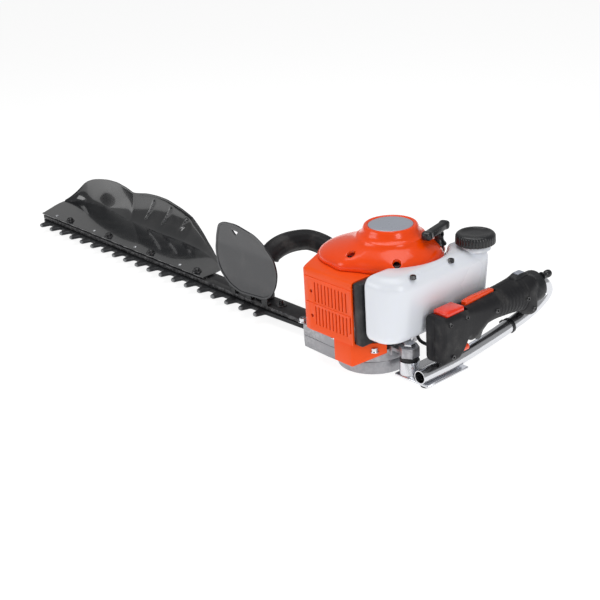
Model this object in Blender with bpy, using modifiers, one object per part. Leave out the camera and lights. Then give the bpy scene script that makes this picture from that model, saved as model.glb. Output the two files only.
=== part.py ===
"""Petrol hedge trimmer with a single-sided cutter bar, a vertical-shaft engine and a transverse rear handle.

The cutter bar points along -X, the teeth face -Y and +Z is up. The origin lies under the middle of the
cutter bar's line, on the surface that the machine stands on. Dimensions below are in millimetres.
"""

import math

import bmesh
import bpy
from mathutils import Matrix, Vector

MM = 0.001
GAP = 0.3

# Cutter bar
TEETH = 19
TOOTH_PITCH = 33.0
REAR_TOOTH_X = -242.0
TOOTH_TIP_Y = -35.5
TOOTH_ROOT_Y = -20.5
TOOTH_TIP_WIDTH = 7.0
TOOTH_ROOT_WIDTH = 15.0
BLADE_BACK_Y = 12.0
BLADE_TIP_X = -856.0
BLADE_REAR_X = -104.0
LOWER_BLADE_Z = (11.4, 14.0)
UPPER_BLADE_Z = (14.4, 17.0)
BLADE_STROKE = 8.0
BAR_X = (-861.0, -78.0)
BAR_Y = (-16.0, 14.0)
BAR_Z = (17.5, 23.5)
BOLT_Y = -5.0
BOLT_XS = [-783.5 + 123.0 * i for i in range(4)]
BOLT_TO_SCREW = -44.0
BOLT_RADIUS = 3.0

# Drive
GEAR_X = -39.0
GEAR_MODULE = 1.5
GEAR_TEETH = 40
PINION_TEETH = 10
GEAR_Z = (19.0, 26.0)
CRANK_Y = GEAR_MODULE * (GEAR_TEETH + PINION_TEETH) / 2 + 0.3
ECCENTRIC = 8.0
EYE_RADIUS = 17.4

# Engine
CRANK_THROW = 13.0
CRANK_Z = 78.0
CONROD_LENGTH = 40.0
BORE_RADIUS = 16.0
DOME_TOP_Z = 176.0
RIM_Z = 132.0

# Rear handle
ISOLATOR_X = 36.0
ISOLATOR_Y = -11.0
TUBE_RADIUS = 9.25
TUBE_WALL = 1.6
TUBE_X = 69.0
GRIP_X = 75.0
GRIP_WIDTH = 33.5

ORANGE = (1.0, 0.10, 0.008)
RED = (0.95, 0.035, 0.01)
BLACK = (0.022, 0.023, 0.026)
DARK_GREY = (0.07, 0.075, 0.085)
WHITE = (0.78, 0.80, 0.86)
SILVER = (0.75, 0.76, 0.78)
CAST = (0.55, 0.56, 0.58)
STEEL = (0.45, 0.46, 0.48)

for leftover in list(bpy.data.objects):
    bpy.data.objects.remove(leftover)

parts = bpy.data.collections.new("hedge_trimmer")
cutters = bpy.data.collections.new("cutters")
bpy.context.scene.collection.children.link(parts)
bpy.context.scene.collection.children.link(cutters)


def make_material(name, colour, roughness, metallic):
    material = bpy.data.materials.new(name)
    material.use_nodes = True
    shader = material.node_tree.nodes["Principled BSDF"]
    shader.inputs["Base Color"].default_value = (*colour, 1.0)
    shader.inputs["Roughness"].default_value = roughness
    shader.inputs["Metallic"].default_value = metallic
    return material


def finish(obj, colour, roughness=0.4, metallic=0.0):
    """Gives a sub-part its own material."""
    obj.data.materials.clear()
    obj.data.materials.append(make_material(obj.name, colour, roughness, metallic))
    return obj


def add_mesh(name, mesh, matrix=None):
    obj = bpy.data.objects.new(name, mesh)
    parts.objects.link(obj)
    if matrix is not None:
        mesh.transform(matrix)
    return obj


def mesh_from(bm, name):
    mesh = bpy.data.meshes.new(name)
    bm.to_mesh(mesh)
    bm.free()
    return mesh


def smooth(obj, angle=35.0):
    obj.data.shade_smooth()
    obj.data.set_sharp_from_angle(angle=math.radians(angle))
    return obj


def block(name, low, high, bevel=0.0, segments=2):
    """A box from its lowest to its highest corner, with rounded edges."""
    bm = bmesh.new()
    size = [(b - a) * MM for a, b in zip(low, high)]
    middle = [(a + b) * MM / 2 for a, b in zip(low, high)]
    bmesh.ops.create_cube(bm, size=1.0, matrix=Matrix.Translation(middle) @ Matrix.Diagonal((*size, 1.0)))
    obj = add_mesh(name, mesh_from(bm, name))
    if bevel:
        round_edges(obj, bevel, segments)
    return obj


def round_edges(obj, width, segments=2, angle=30.0):
    bevel = obj.modifiers.new("round", "BEVEL")
    bevel.width = width * MM
    bevel.segments = segments
    bevel.limit_method = "ANGLE"
    bevel.angle_limit = math.radians(angle)


AXIS_TURN = {
    "X": Matrix.Rotation(math.radians(90), 4, "Y"),
    "Y": Matrix.Rotation(math.radians(-90), 4, "X"),
    "Z": Matrix.Identity(4),
}


def rod(name, centre, radius, length, axis="Z", sides=24):
    """A cylinder or a prism that starts at centre and runs along the axis."""
    bm = bmesh.new()
    bmesh.ops.create_cone(
        bm, cap_ends=True, segments=sides, radius1=radius * MM, radius2=radius * MM, depth=length * MM
    )
    bmesh.ops.translate(bm, verts=bm.verts, vec=(0, 0, length * MM / 2))
    place = Matrix.Translation(Vector(centre) * MM) @ AXIS_TURN[axis]
    return smooth(add_mesh(name, mesh_from(bm, name), place))


def turned(name, profile, centre=(0, 0, 0), axis="Z", steps=32):
    """A turned shape from (radius, height) points that run down its outer side, and up its bore if it has one."""
    bm = bmesh.new()
    points = [bm.verts.new((radius * MM, 0, height * MM)) for radius, height in profile]
    for first, second in zip(points, points[1:]):
        bm.edges.new((first, second))
    if profile[0][0] > 0:
        bm.edges.new((points[-1], points[0]))
    obj = add_mesh(name, mesh_from(bm, name))
    screw = obj.modifiers.new("turn", "SCREW")
    screw.steps = steps
    screw.render_steps = steps
    screw.use_merge_vertices = True
    screw.merge_threshold = 0.000001
    screw.use_smooth_shade = True
    obj.matrix_world = Matrix.Translation(Vector(centre) * MM) @ AXIS_TURN[axis]
    return obj


def ring(name, outer, inner, low, high, centre, axis="Z", steps=32):
    profile = [(outer, high), (outer, low), (inner, low), (inner, high)]
    return turned(name, profile, centre, axis, steps)


PLANES = {
    "XY": Matrix.Identity(4),
    "XZ": Matrix(((1, 0, 0, 0), (0, 0, -1, 0), (0, 1, 0, 0), (0, 0, 0, 1))),
    "YZ": Matrix(((0, 0, 1, 0), (1, 0, 0, 0), (0, 1, 0, 0), (0, 0, 0, 1))),
}


def from_curve(guide):
    """The mesh of a curve, welded at its caps."""
    bpy.context.view_layer.update()
    graph = bpy.context.evaluated_depsgraph_get()
    mesh = bpy.data.meshes.new_from_object(guide.evaluated_get(graph))
    bm = bmesh.new()
    bm.from_mesh(mesh)
    bmesh.ops.remove_doubles(bm, verts=bm.verts, dist=0.000002)
    bmesh.ops.recalc_face_normals(bm, faces=bm.faces)
    bm.to_mesh(mesh)
    bm.free()
    mesh.name = guide.name
    name = guide.name
    matrix = guide.matrix_world.copy()
    bpy.data.objects.remove(guide)
    obj = add_mesh(name, mesh)
    obj.name = name
    obj.matrix_world = matrix
    return obj


def slab(name, outlines, low, high, plane="XY"):
    """A flat outline, with holes if there are more outlines than one, from low to high across its plane."""
    curve = bpy.data.curves.new(name, "CURVE")
    curve.dimensions = "2D"
    curve.fill_mode = "BOTH"
    curve.extrude = (high - low) * MM / 2
    for outline in outlines:
        spline = curve.splines.new("POLY")
        spline.points.add(len(outline) - 1)
        for point, (u, v) in zip(spline.points, outline):
            point.co = (u * MM, v * MM, 0, 1)
        spline.use_cyclic_u = True
    guide = bpy.data.objects.new(name, curve)
    parts.objects.link(guide)
    across = -(low + high) / 2 if plane == "XZ" else (low + high) / 2
    guide.matrix_world = PLANES[plane] @ Matrix.Translation((0, 0, across * MM))
    return from_curve(guide)


def tube(name, path, radius, resolution=3):
    """A round bar along a list of points."""
    curve = bpy.data.curves.new(name, "CURVE")
    curve.dimensions = "3D"
    curve.bevel_depth = radius * MM
    curve.bevel_resolution = resolution
    curve.use_fill_caps = True
    spline = curve.splines.new("POLY")
    spline.points.add(len(path) - 1)
    for point, place in zip(spline.points, path):
        point.co = (*(Vector(place) * MM), 1)
    guide = bpy.data.objects.new(name, curve)
    parts.objects.link(guide)
    return smooth(from_curve(guide), 50)


def smooth_path(knots, per_span):
    """Points of a Catmull-Rom curve through the knots."""
    knots = [Vector(knot) for knot in knots]
    padded = [2 * knots[0] - knots[1], *knots, 2 * knots[-1] - knots[-2]]
    path = []
    for i in range(1, len(padded) - 2):
        before, start, end, after = padded[i - 1 : i + 3]
        for step in range(per_span):
            t = step / per_span
            path.append(
                0.5
                * (
                    2 * start
                    + (end - before) * t
                    + (2 * before - 5 * start + 4 * end - after) * t * t
                    + (3 * start - before - 3 * end + after) * t**3
                )
            )
    path.append(knots[-1])
    return path


def circle(x, y, radius, sides=16):
    return [
        (x + radius * math.cos(math.tau * i / sides), y + radius * math.sin(math.tau * i / sides))
        for i in range(sides)
    ]


def arc(x, y, radius, start, end, steps):
    """Points on an arc, with angles in degrees."""
    angles = [math.radians(start + (end - start) * i / steps) for i in range(steps + 1)]
    return [(x + radius * math.cos(a), y + radius * math.sin(a)) for a in angles]


def stadium(x, y, half_length, radius, steps=6):
    return arc(x + half_length, y, radius, -90, 90, steps) + arc(x - half_length, y, radius, 90, 270, steps)


def rounded(outline, radius, steps=3):
    """The same outline with its corners rounded off."""
    corners = [Vector(corner) for corner in outline]
    result = []
    for i, corner in enumerate(corners):
        before, after = corners[i - 1], corners[(i + 1) % len(corners)]
        start = corner + (before - corner).normalized() * min(radius, 0.45 * (before - corner).length)
        end = corner + (after - corner).normalized() * min(radius, 0.45 * (after - corner).length)
        for step in range(steps + 1):
            t = step / steps
            result.append(tuple((1 - t) ** 2 * start + 2 * t * (1 - t) * corner + t * t * end))
    return result


def combine(obj, other, operation):
    """Cuts or joins with another object, which becomes a hidden helper."""
    parts.objects.unlink(other)
    cutters.objects.link(other)
    other.hide_render = True
    other.display_type = "WIRE"
    boolean = obj.modifiers.new(operation.lower(), "BOOLEAN")
    boolean.operation = operation
    boolean.object = other
    boolean.solver = "EXACT"
    return obj


def cut(obj, *others):
    for other in others:
        combine(obj, other, "DIFFERENCE")
    return obj


def join(obj, *others):
    for other in others:
        combine(obj, other, "UNION")
    return obj


def pivot(name, place, *pieces):
    """An empty on a joint's axis, which carries the pieces that the joint moves."""
    empty = bpy.data.objects.new(name, None)
    parts.objects.link(empty)
    empty.location = Vector(place) * MM
    bpy.context.view_layer.update()
    for piece in pieces:
        piece.parent = empty
        piece.matrix_parent_inverse = empty.matrix_world.inverted()
    return empty


# ---- cutter bar ----


def blade_outline(tail):
    """One blade with its teeth, then its tail towards the drive."""
    outline = []
    for i in range(TEETH):
        middle = REAR_TOOTH_X - TOOTH_PITCH * i
        outline += [
            (middle + TOOTH_ROOT_WIDTH / 2 + 2.5, TOOTH_ROOT_Y),
            (middle + TOOTH_ROOT_WIDTH / 2, TOOTH_ROOT_Y - 2.0),
            (middle + TOOTH_TIP_WIDTH / 2, TOOTH_TIP_Y + 1.0),
            (middle + TOOTH_TIP_WIDTH / 2 - 1.5, TOOTH_TIP_Y),
            (middle - TOOTH_TIP_WIDTH / 2, TOOTH_TIP_Y),
            (middle - TOOTH_ROOT_WIDTH / 2, TOOTH_ROOT_Y - 2.0),
            (middle - TOOTH_ROOT_WIDTH / 2 - 2.5, TOOTH_ROOT_Y),
        ]
    outline += [(BLADE_TIP_X, TOOTH_ROOT_Y + 4), (BLADE_TIP_X, BLADE_BACK_Y - 6), (BLADE_TIP_X + 6, BLADE_BACK_Y)]
    return outline + tail


def blade_tail(eye_y):
    """The narrow end that ties the blade to its connecting rod."""
    return [
        (BLADE_REAR_X - 40, BLADE_BACK_Y),
        (BLADE_REAR_X - 30, eye_y + 7),
        (BLADE_REAR_X, eye_y + 7),
        (BLADE_REAR_X, eye_y - 7),
        (BLADE_REAR_X - 30, eye_y - 7),
        (BLADE_REAR_X - 40, -16.0),
    ]


def build_cutter():
    slots = [stadium(x, BOLT_Y, BLADE_STROKE + 0.6, BOLT_RADIUS + 0.5) for x in BOLT_XS]
    upper = slab("upper_blade", [blade_outline(blade_tail(4.0)), *slots], *UPPER_BLADE_Z)
    lower = slab("lower_blade", [blade_outline(blade_tail(-4.0)), *slots], *LOWER_BLADE_Z)
    for blade in (upper, lower):
        finish(blade, STEEL, 0.3, 0.9)

    holes = [circle(x, BOLT_Y, BOLT_RADIUS + GAP, 12) for x in BOLT_XS]
    holes += [circle(x + BOLT_TO_SCREW, BOLT_Y, 1.9, 10) for x in BOLT_XS]
    nose = arc(BAR_X[0] + 12, BAR_Y[1] - 12, 12, 90, 180, 4) + arc(BAR_X[0] + 6, BAR_Y[0] + 6, 6, 180, 270, 3)
    bar = slab("guide_bar", [[(BAR_X[1], BAR_Y[0]), (BAR_X[1], BAR_Y[1]), *nose], *holes], *BAR_Z)
    finish(bar, BLACK, 0.45, 0.3)

    for i, x in enumerate(BOLT_XS):
        head_z = BAR_Z[1] + 2.9
        profile = [
            (0, head_z + 6.5),
            (3.0, head_z + 6.0),
            (5.0, head_z + 4.2),
            (5.6, head_z + 1.4),
            (7.4, head_z + 1.2),
            (7.4, head_z),
            (BOLT_RADIUS, head_z),
            (BOLT_RADIUS, LOWER_BLADE_Z[0] - GAP),
            (7.0, LOWER_BLADE_Z[0] - GAP),
            (7.0, 7.0),
            (0, 7.0),
        ]
        finish(turned(f"blade_bolt_{i + 1}", profile, (x, BOLT_Y, 0), steps=16), BLACK, 0.3, 0.4)


def smoothstep(t):
    t = min(max(t, 0.0), 1.0)
    return t * t * (3 - 2 * t)


def deflector_point(along, across):
    """A point of the leaf deflector: along runs from its front end to its rear, across from the bar to its crest."""
    front = -862.0 - 24.0 * smoothstep(across / 0.55) * (1 - smoothstep((across - 0.55) / 0.45))
    rear = -388.0 - 90.0 * smoothstep((across - 0.25) / 0.75)
    x = front + (rear - front) * along
    fold_y = 78.0 - 22.0 * smoothstep(along * 1.25)
    crest = 80.0 - 22.0 * (1 - smoothstep(along / 0.12)) - 8.0 * math.exp(-(((along - 0.43) / 0.07) ** 2))
    crest -= (crest - 27.0) * smoothstep((along - 0.66) / 0.34)
    base_y = -13.0
    base_z = BAR_Z[1] + GAP
    share = 0.55
    if across <= share:
        y = base_y + (fold_y - base_y) * across / share
        narrowing = 1 - 0.55 * smoothstep((along - 0.86) / 0.14) * smoothstep(across / share)
        return Vector((x, base_y + (y - base_y) * narrowing, base_z))
    rise = (across - share) / (1 - share)
    narrowing = 1 - 0.55 * smoothstep((along - 0.86) / 0.14)
    y = base_y + (fold_y - base_y) * narrowing + 14.0 * math.sin(rise * math.pi / 2)
    return Vector((x, y, base_z + (crest - base_z) * (1 - math.cos(rise * math.pi / 2)) ** 0.8))


def build_deflector():
    bm = bmesh.new()
    columns, rows = 26, 9
    bmesh.ops.create_grid(bm, x_segments=columns, y_segments=rows, size=0.5)
    for vert in bm.verts:
        vert.co = deflector_point(vert.co.x + 0.5, vert.co.y + 0.5) * MM
    deflector = add_mesh("deflector", mesh_from(bm, "deflector"))
    sheet = deflector.modifiers.new("sheet", "SOLIDIFY")
    sheet.thickness = 2.0 * MM
    sheet.offset = 1.0
    for i, x in enumerate(BOLT_XS):
        cut(deflector, rod(f"deflector_hole_{i + 1}", (x, BOLT_Y, 20), BOLT_RADIUS + GAP, 12, sides=12))
        cut(deflector, rod(f"screw_hole_{i + 1}", (x + BOLT_TO_SCREW, BOLT_Y, 20), 1.9, 12, sides=10))
    finish(deflector, DARK_GREY, 0.2)


# ---- gear case and drive ----


def gear_outline(teeth, x, y, turn):
    """Trapezium teeth that mesh with play; turn puts the middle of a tooth at that angle in degrees."""
    pitch_radius = GEAR_MODULE * teeth / 2
    tip = pitch_radius + GEAR_MODULE * 0.9
    root = pitch_radius - GEAR_MODULE * 1.2
    outline = []
    for i in range(teeth):
        middle = math.radians(turn) + math.tau * i / teeth
        for radius, share in ((root, -0.31), (tip, -0.13), (tip, 0.13), (root, 0.31)):
            angle = middle + share * math.tau / teeth
            outline.append((x + radius * math.cos(angle), y + radius * math.sin(angle)))
    return outline


def build_drive():
    gear = slab("drive_gear", [gear_outline(GEAR_TEETH, GEAR_X, 0, 90 + 180 / GEAR_TEETH)], *GEAR_Z)
    shaft = rod("gear_shaft", (GEAR_X, 0, 4.0), 5.5, 27.0, sides=20)
    upper = rod("upper_eccentric", (GEAR_X, ECCENTRIC, 7.8), EYE_RADIUS - 0.4, 3.0, sides=28)
    lower = rod("lower_eccentric", (GEAR_X, -ECCENTRIC, 5.0), EYE_RADIUS - 0.4, 3.0, sides=28)
    join(gear, shaft, upper, lower)
    finish(gear, STEEL, 0.35, 1.0)
    pivot("drive_gear_axis", (GEAR_X, 0, 0), gear)

    for name, side, (low, high) in (("upper", 1, UPPER_BLADE_Z), ("lower", -1, LOWER_BLADE_Z)):
        eye_y = side * ECCENTRIC
        tail_y = side * 4.0
        outline = arc(GEAR_X, eye_y, 22.0, -165, 165, 22)
        outline += [(BLADE_REAR_X + GAP, tail_y + 6), (BLADE_REAR_X + GAP, tail_y - 6)]
        rod_plate = slab(f"{name}_blade_rod", [outline, circle(GEAR_X, eye_y, EYE_RADIUS, 28)], low, high)
        finish(rod_plate, STEEL, 0.35, 1.0)

    drum = turned(
        "clutch_drum",
        [(0, 37.0), (24.6, 37.0), (24.6, 48.0), (27.0, 48.0), (27.0, 34.5), (7.6, 34.5), (7.6, 27.0), (0, 27.0)],
        (GEAR_X, CRANK_Y, 0),
        steps=32,
    )
    pinion = slab("pinion_teeth", [gear_outline(PINION_TEETH, GEAR_X, CRANK_Y, -90)], 18.6, 28.0)
    join(drum, pinion)
    finish(drum, STEEL, 0.35, 1.0)
    pivot("clutch_axis", (GEAR_X, CRANK_Y, 0), drum)


def case_outline(grow):
    """The gear case in plan: a round pan under the gear, with a neck that holds the cutter bar."""
    pan = arc(GEAR_X + 1, 0, 48 + grow, -128, 128, 26)
    return pan + [
        (-86 - grow, 35 + grow),
        (-134 - grow, 33 + grow),
        (-147 - grow, 24 + grow),
        (-147 - grow, -26 - grow),
        (-134 - grow, -36 - grow),
        (-86 - grow, -38 - grow),
    ]


def build_gearcase():
    lower = slab("gearcase_lower", [case_outline(0)], 0, BAR_Z[0] - GAP)
    round_edges(lower, 3.0, 2, 60)
    cut(lower, slab("lower_hollow", [case_outline(-3)], 3.2, 30))
    cut(lower, block("blade_mouth", (-160, -22, 11.0), (-140, 14, 30)))
    cut(lower, block("case_notch", (-96, -46, 9), (-86, -38.5, 15.5)))
    finish(lower, CAST, 0.45, 0.8)

    upper = slab("gearcase_upper", [case_outline(0)], BAR_Z[0], 33.0)
    lobe = rod("pinion_lobe", (GEAR_X, CRANK_Y, BAR_Z[0]), 33.0, 33.0 - BAR_Z[0], sides=36)
    arm = block("isolator_arm", (2, -17, 26.0), (12, -5, 38.0))
    reach = block("isolator_reach", (4, -16.5, 32.4), (34, -5.5, 37.5))
    boss = rod("isolator_boss", (ISOLATOR_X, ISOLATOR_Y, 32.0), 13.5, 13.0, sides=6)
    join(upper, lobe, arm, reach, boss)
    cut(upper, slab("upper_hollow", [case_outline(-3)], 10, 30.0))
    cut(upper, rod("pinion_room", (GEAR_X, CRANK_Y, 10), 29.5, 20.2, sides=36))
    cut(upper, rod("pinion_bore", (GEAR_X, CRANK_Y, 28), 8.2, 8, sides=20))
    cut(upper, rod("gear_bore", (GEAR_X, 0, 28), 5.9, 8, sides=20))
    cut(upper, rod("isolator_bore", (ISOLATOR_X, ISOLATOR_Y, 28), 3.8, 30, sides=12))
    cut(upper, block("bar_mouth", (-160, BAR_Y[0] - GAP, 10), (-140, BAR_Y[1] + GAP, BAR_Z[1] + GAP)))
    finish(upper, CAST, 0.45, 0.8)


# ---- engine ----


def build_crankcase():
    low, high = 50.0, 104.0
    case = turned(
        "crankcase",
        [
            (28.0, high),
            (30.0, high - 2),
            (30.0, low + 4),
            (33.0, low + 4),
            (33.0, 33.3),
            (29.5, 33.3),
            (29.5, low + 0.5),
            (7.0, low + 0.5),
            (7.0, CRANK_Z - 13.5),
            (24.0, CRANK_Z - 13.5),
            (24.0, CRANK_Z + 13.5),
            (7.0, CRANK_Z + 13.5),
            (7.0, high),
        ],
        (GEAR_X, CRANK_Y, 0),
        steps=28,
    )
    cut(case, rod("cylinder_port", (GEAR_X, CRANK_Y - 40, CRANK_Z), BORE_RADIUS + 0.6, 40, "Y", 32))
    cut(case, block("cylinder_seat", (GEAR_X - 31, -10, CRANK_Z - 30), (GEAR_X + 31, 9.0, CRANK_Z + 27)))
    cut(case, rod("intake_port", (GEAR_X, CRANK_Y, CRANK_Z), 7, 40, "Y", 16))
    finish(case, CAST, 0.45, 0.8)


def build_cylinder():
    """The cylinder lies along -Y, with its open end in the crankcase."""
    head_y = -40.0
    profile = [(0, -35.0), (BORE_RADIUS + 0.3, -33.0), (BORE_RADIUS + 0.3, 8.6), (20.5, 8.6)]
    for i in range(5):
        top = 0.5 - 8.2 * i
        profile += [(20.5, top), (26.0, top), (26.0, top - 2.2), (20.5, top - 2.2)]
    profile += [(20.5, head_y), (0, head_y)]
    cylinder = turned("cylinder", profile, (GEAR_X, 0, CRANK_Z), "Y", 24)
    cut(cylinder, rod("exhaust_port", (GEAR_X - 30, -12, CRANK_Z), 6.0, 26, "X", 12))
    cut(cylinder, rod("plug_hole", (GEAR_X, head_y - 2, CRANK_Z), 3.6, 20, "Y", 12))
    finish(cylinder, CAST, 0.5, 0.7)

    plug = turned(
        "spark_plug",
        [(0, -35.4), (3.2, -35.4), (3.2, -40.3), (6.2, -40.3), (6.2, -44.5), (2.6, -45.0), (2.6, -53.0), (0, -53.0)],
        (GEAR_X, 0, CRANK_Z),
        "Y",
        12,
    )
    finish(plug, SILVER, 0.3, 0.8)
    cap = block("plug_cap", (GEAR_X - 6.5, -57.0, 70.5), (GEAR_X + 6.5, -46.0, 99.0), 2.0)
    cut(cap, rod("cap_hole", (GEAR_X, -54.5, CRANK_Z), 3.0, 20, "Y", 12))
    finish(cap, BLACK, 0.6)


def build_crank():
    """A built-up crankshaft at top dead centre, whose pin is left open where the connecting rod runs."""
    eye_low, eye_high = CRANK_Z - 3.0, CRANK_Z + 3.0
    pin_y = CRANK_Y - CRANK_THROW
    lower = rod("crankshaft_lower", (GEAR_X, CRANK_Y, 37.6), 6.0, 30.0, sides=20)
    join(lower, rod("lower_web", (GEAR_X, CRANK_Y, 66.0), 18.0, 7.0, sides=32))
    join(lower, rod("lower_pin", (GEAR_X, pin_y, 70.0), 4.4, eye_low - GAP - 70.0, sides=16))
    upper = rod("crankshaft_upper", (GEAR_X, CRANK_Y, 88.0), 6.0, 60.0, sides=20)
    join(upper, rod("upper_web", (GEAR_X, CRANK_Y, 83.0), 18.0, 7.0, sides=32))
    join(upper, rod("upper_pin", (GEAR_X, pin_y, eye_high + GAP), 4.4, 6.0, sides=16))
    join(upper, rod("starter_dogs", (GEAR_X, CRANK_Y, 138.0), 14.0, 9.0, sides=12))

    outline = arc(GEAR_X, CRANK_Y, 23.9, 12, 168, 10) + [(GEAR_X - 8, CRANK_Y + 2.5), (GEAR_X + 8, CRANK_Y + 2.5)]
    shoe = slab("clutch_shoes", [outline], 38.5, 47.5)
    mirrored = [(x, 2 * CRANK_Y - y) for x, y in reversed(outline)]
    hub = rod("clutch_hub", (GEAR_X, CRANK_Y, 38.5), 9.5, 9.0, sides=20)
    join(shoe, slab("second_shoe", [mirrored], 38.5, 47.5), hub)
    cut(shoe, rod("hub_bore", (GEAR_X, CRANK_Y, 30), 6.3, 30, sides=20))
    finish(shoe, STEEL, 0.5, 0.8)

    vanes = []
    count = 16
    for i in range(count):
        for radius, share in ((25.0, 0.0), (39.3, 0.1), (39.3, 0.25), (25.0, 0.35)):
            angle = math.tau * (i + share) / count
            vanes.append((GEAR_X + radius * math.cos(angle), CRANK_Y + radius * math.sin(angle)))
    flywheel = rod("flywheel", (GEAR_X, CRANK_Y, 107.5), 30.0, 6.0, sides=32)
    join(flywheel, slab("vanes", [vanes], 111.0, 123.0))
    cut(flywheel, rod("flywheel_bore", (GEAR_X, CRANK_Y, 100), 6.3, 30, sides=20))
    finish(flywheel, CAST, 0.4, 0.9)
    for piece in (lower, upper):
        finish(piece, STEEL, 0.25, 1.0)
    pivot("crank_axis", (GEAR_X, CRANK_Y, 0), lower, upper, shoe, flywheel)

    wrist_y = pin_y - CONROD_LENGTH
    outline = arc(GEAR_X, pin_y, 7.6, -65, 245, 16) + arc(GEAR_X, wrist_y, 6.0, 120, 420, 14)
    conrod = slab("connecting_rod", [outline, circle(GEAR_X, pin_y, 4.8), circle(GEAR_X, wrist_y, 3.8)], eye_low, eye_high)
    finish(conrod, STEEL, 0.35, 1.0)
    skirt_y, crown_y = wrist_y + 8.2, wrist_y - 15.0
    piston = turned(
        "piston",
        [
            (0, crown_y + 4),
            (13.6, crown_y + 4),
            (13.6, skirt_y),
            (BORE_RADIUS - 0.1, skirt_y),
            (BORE_RADIUS - 0.1, crown_y + 1),
            (14.5, crown_y),
            (0, crown_y),
        ],
        (GEAR_X, 0, CRANK_Z),
        "Y",
        28,
    )
    join(piston, rod("wrist_pin", (GEAR_X, wrist_y, CRANK_Z - 15.0), 3.4, 30.0, sides=14))
    finish(piston, SILVER, 0.35, 0.9)
    pivot("piston_axis", (GEAR_X, wrist_y, CRANK_Z), piston, conrod)


def build_engine_fittings():
    muffler = block("muffler", (-96.0, -44.0, 56.0), (-66.5, 0.0, 102.0), 4.0)
    join(muffler, rod("exhaust_stub", (-68, -12, CRANK_Z), 5.4, 7.5, "X", 14))
    cut(muffler, rod("exhaust_way", (-80, -12, CRANK_Z), 4.2, 25, "X", 12))
    cut(muffler, rod("outlet", (-88, -50, 90), 3.5, 12, "Y", 12))
    finish(muffler, STEEL, 0.5, 0.8)

    carburettor = block("carburettor", (-57.0, 74.0, 60.0), (-22.0, 97.0, 94.0), 2.0)
    join(carburettor, block("carburettor_flange", (-53, 68.2, 64), (-25, 75, 92)))
    cut(carburettor, rod("venturi", (GEAR_X, 60, CRANK_Z), 7.0, 60, "Y", 16))
    finish(carburettor, CAST, 0.4, 0.9)
    filter_box = block("air_filter", (-72.0, 97.4, 52.0), (-8.0, 122.0, 112.0), 5.0)
    cut(filter_box, rod("filter_way", (GEAR_X, 90, CRANK_Z), 7.0, 22, "Y", 16))
    finish(filter_box, BLACK, 0.5)
    coil = block("ignition_coil", (-54.0, 81.5, 107.0), (-24.0, 96.0, 124.0), 1.5)
    finish(coil, BLACK, 0.5)


def cover_outline(inset, open_side):
    """The engine cover in plan, open towards the tank and the crankcase when open_side pushes past them."""
    return [
        (-13 + open_side, -60 + inset),
        (-96, -60 + inset),
        (-104 + inset * 0.6, -57 + inset * 0.8),
        (-109 + inset, -49 + inset * 0.3),
        (-126 + inset, -14),
        (-128 + inset, 4),
        (-123 + inset * 0.8, 22 + open_side),
        (-13 + open_side, 26 + open_side),
    ][::-1]


def build_covers():
    cover = slab("engine_cover", [cover_outline(0, 0)], 46.0, 131.0)
    cut(cover, slab("cover_hollow", [cover_outline(2.6, 12)], 30.0, 128.2))
    cut(cover, rod("fan_room", (GEAR_X, CRANK_Y, 20), 44.0, 130, sides=40))
    for row, (low, high) in enumerate(((56.0, 80.0), (88.0, 114.0))):
        for i in range(9):
            x = -84.0 + 8.0 * i
            cut(cover, block(f"louvre_{row}_{i}", (x, -64, low + 1.0 * row), (x + 2.2, -52, high)))
    finish(cover, ORANGE, 0.3)

    skirt_plan = [(-52, -57), (-21, -57), (9, -23), *arc(GEAR_X + 1, 0, 48.4, -25.5, -104, 10)]
    skirt = slab("lower_skirt", [skirt_plan], 14.0, 45.0)
    under = block("skirt_slope", (-30, -60, -40), (60, 60, 0))
    under.data.transform(Matrix.Rotation(math.radians(-30), 4, "Y"))
    under.location = Vector((-20, -40, 14)) * MM
    cut(skirt, under)
    finish(skirt, ORANGE, 0.3)

    shield = block("heat_shield", (-12.6, -58.0, 47.0), (1.6, -2.0, 131.0), 3.0)
    finish(shield, BLACK, 0.6)
    fan = ring("fan_housing", 43.0, 40.6, 105.0, 131.2, (GEAR_X, CRANK_Y, 0), steps=40)
    cut(fan, block("fan_window", (-75, -20, 108), (-14, 20, 126)))
    cut(fan, block("coil_window", (-56, 70, 100), (-22, 90, 126)))
    finish(fan, BLACK, 0.6)


def housing_shape(angle, radius, height):
    """How far the starter housing reaches in one direction: round on top, drawn out to the front low down."""
    low = smoothstep((162.0 - height) / 30.0) * smoothstep((radius - 36.0) / 22.0)
    front = max(0.0, math.cos(angle - math.radians(196))) ** 2
    lugs = sum(max(0.0, math.cos(angle - math.radians(a))) ** 60 for a in (-50, 38, 130))
    lug_low = smoothstep((148.0 - height) / 8.0)
    return radius + 28.0 * low * front + 7.0 * lug_low * lugs * smoothstep((radius - 50) / 8)


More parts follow.
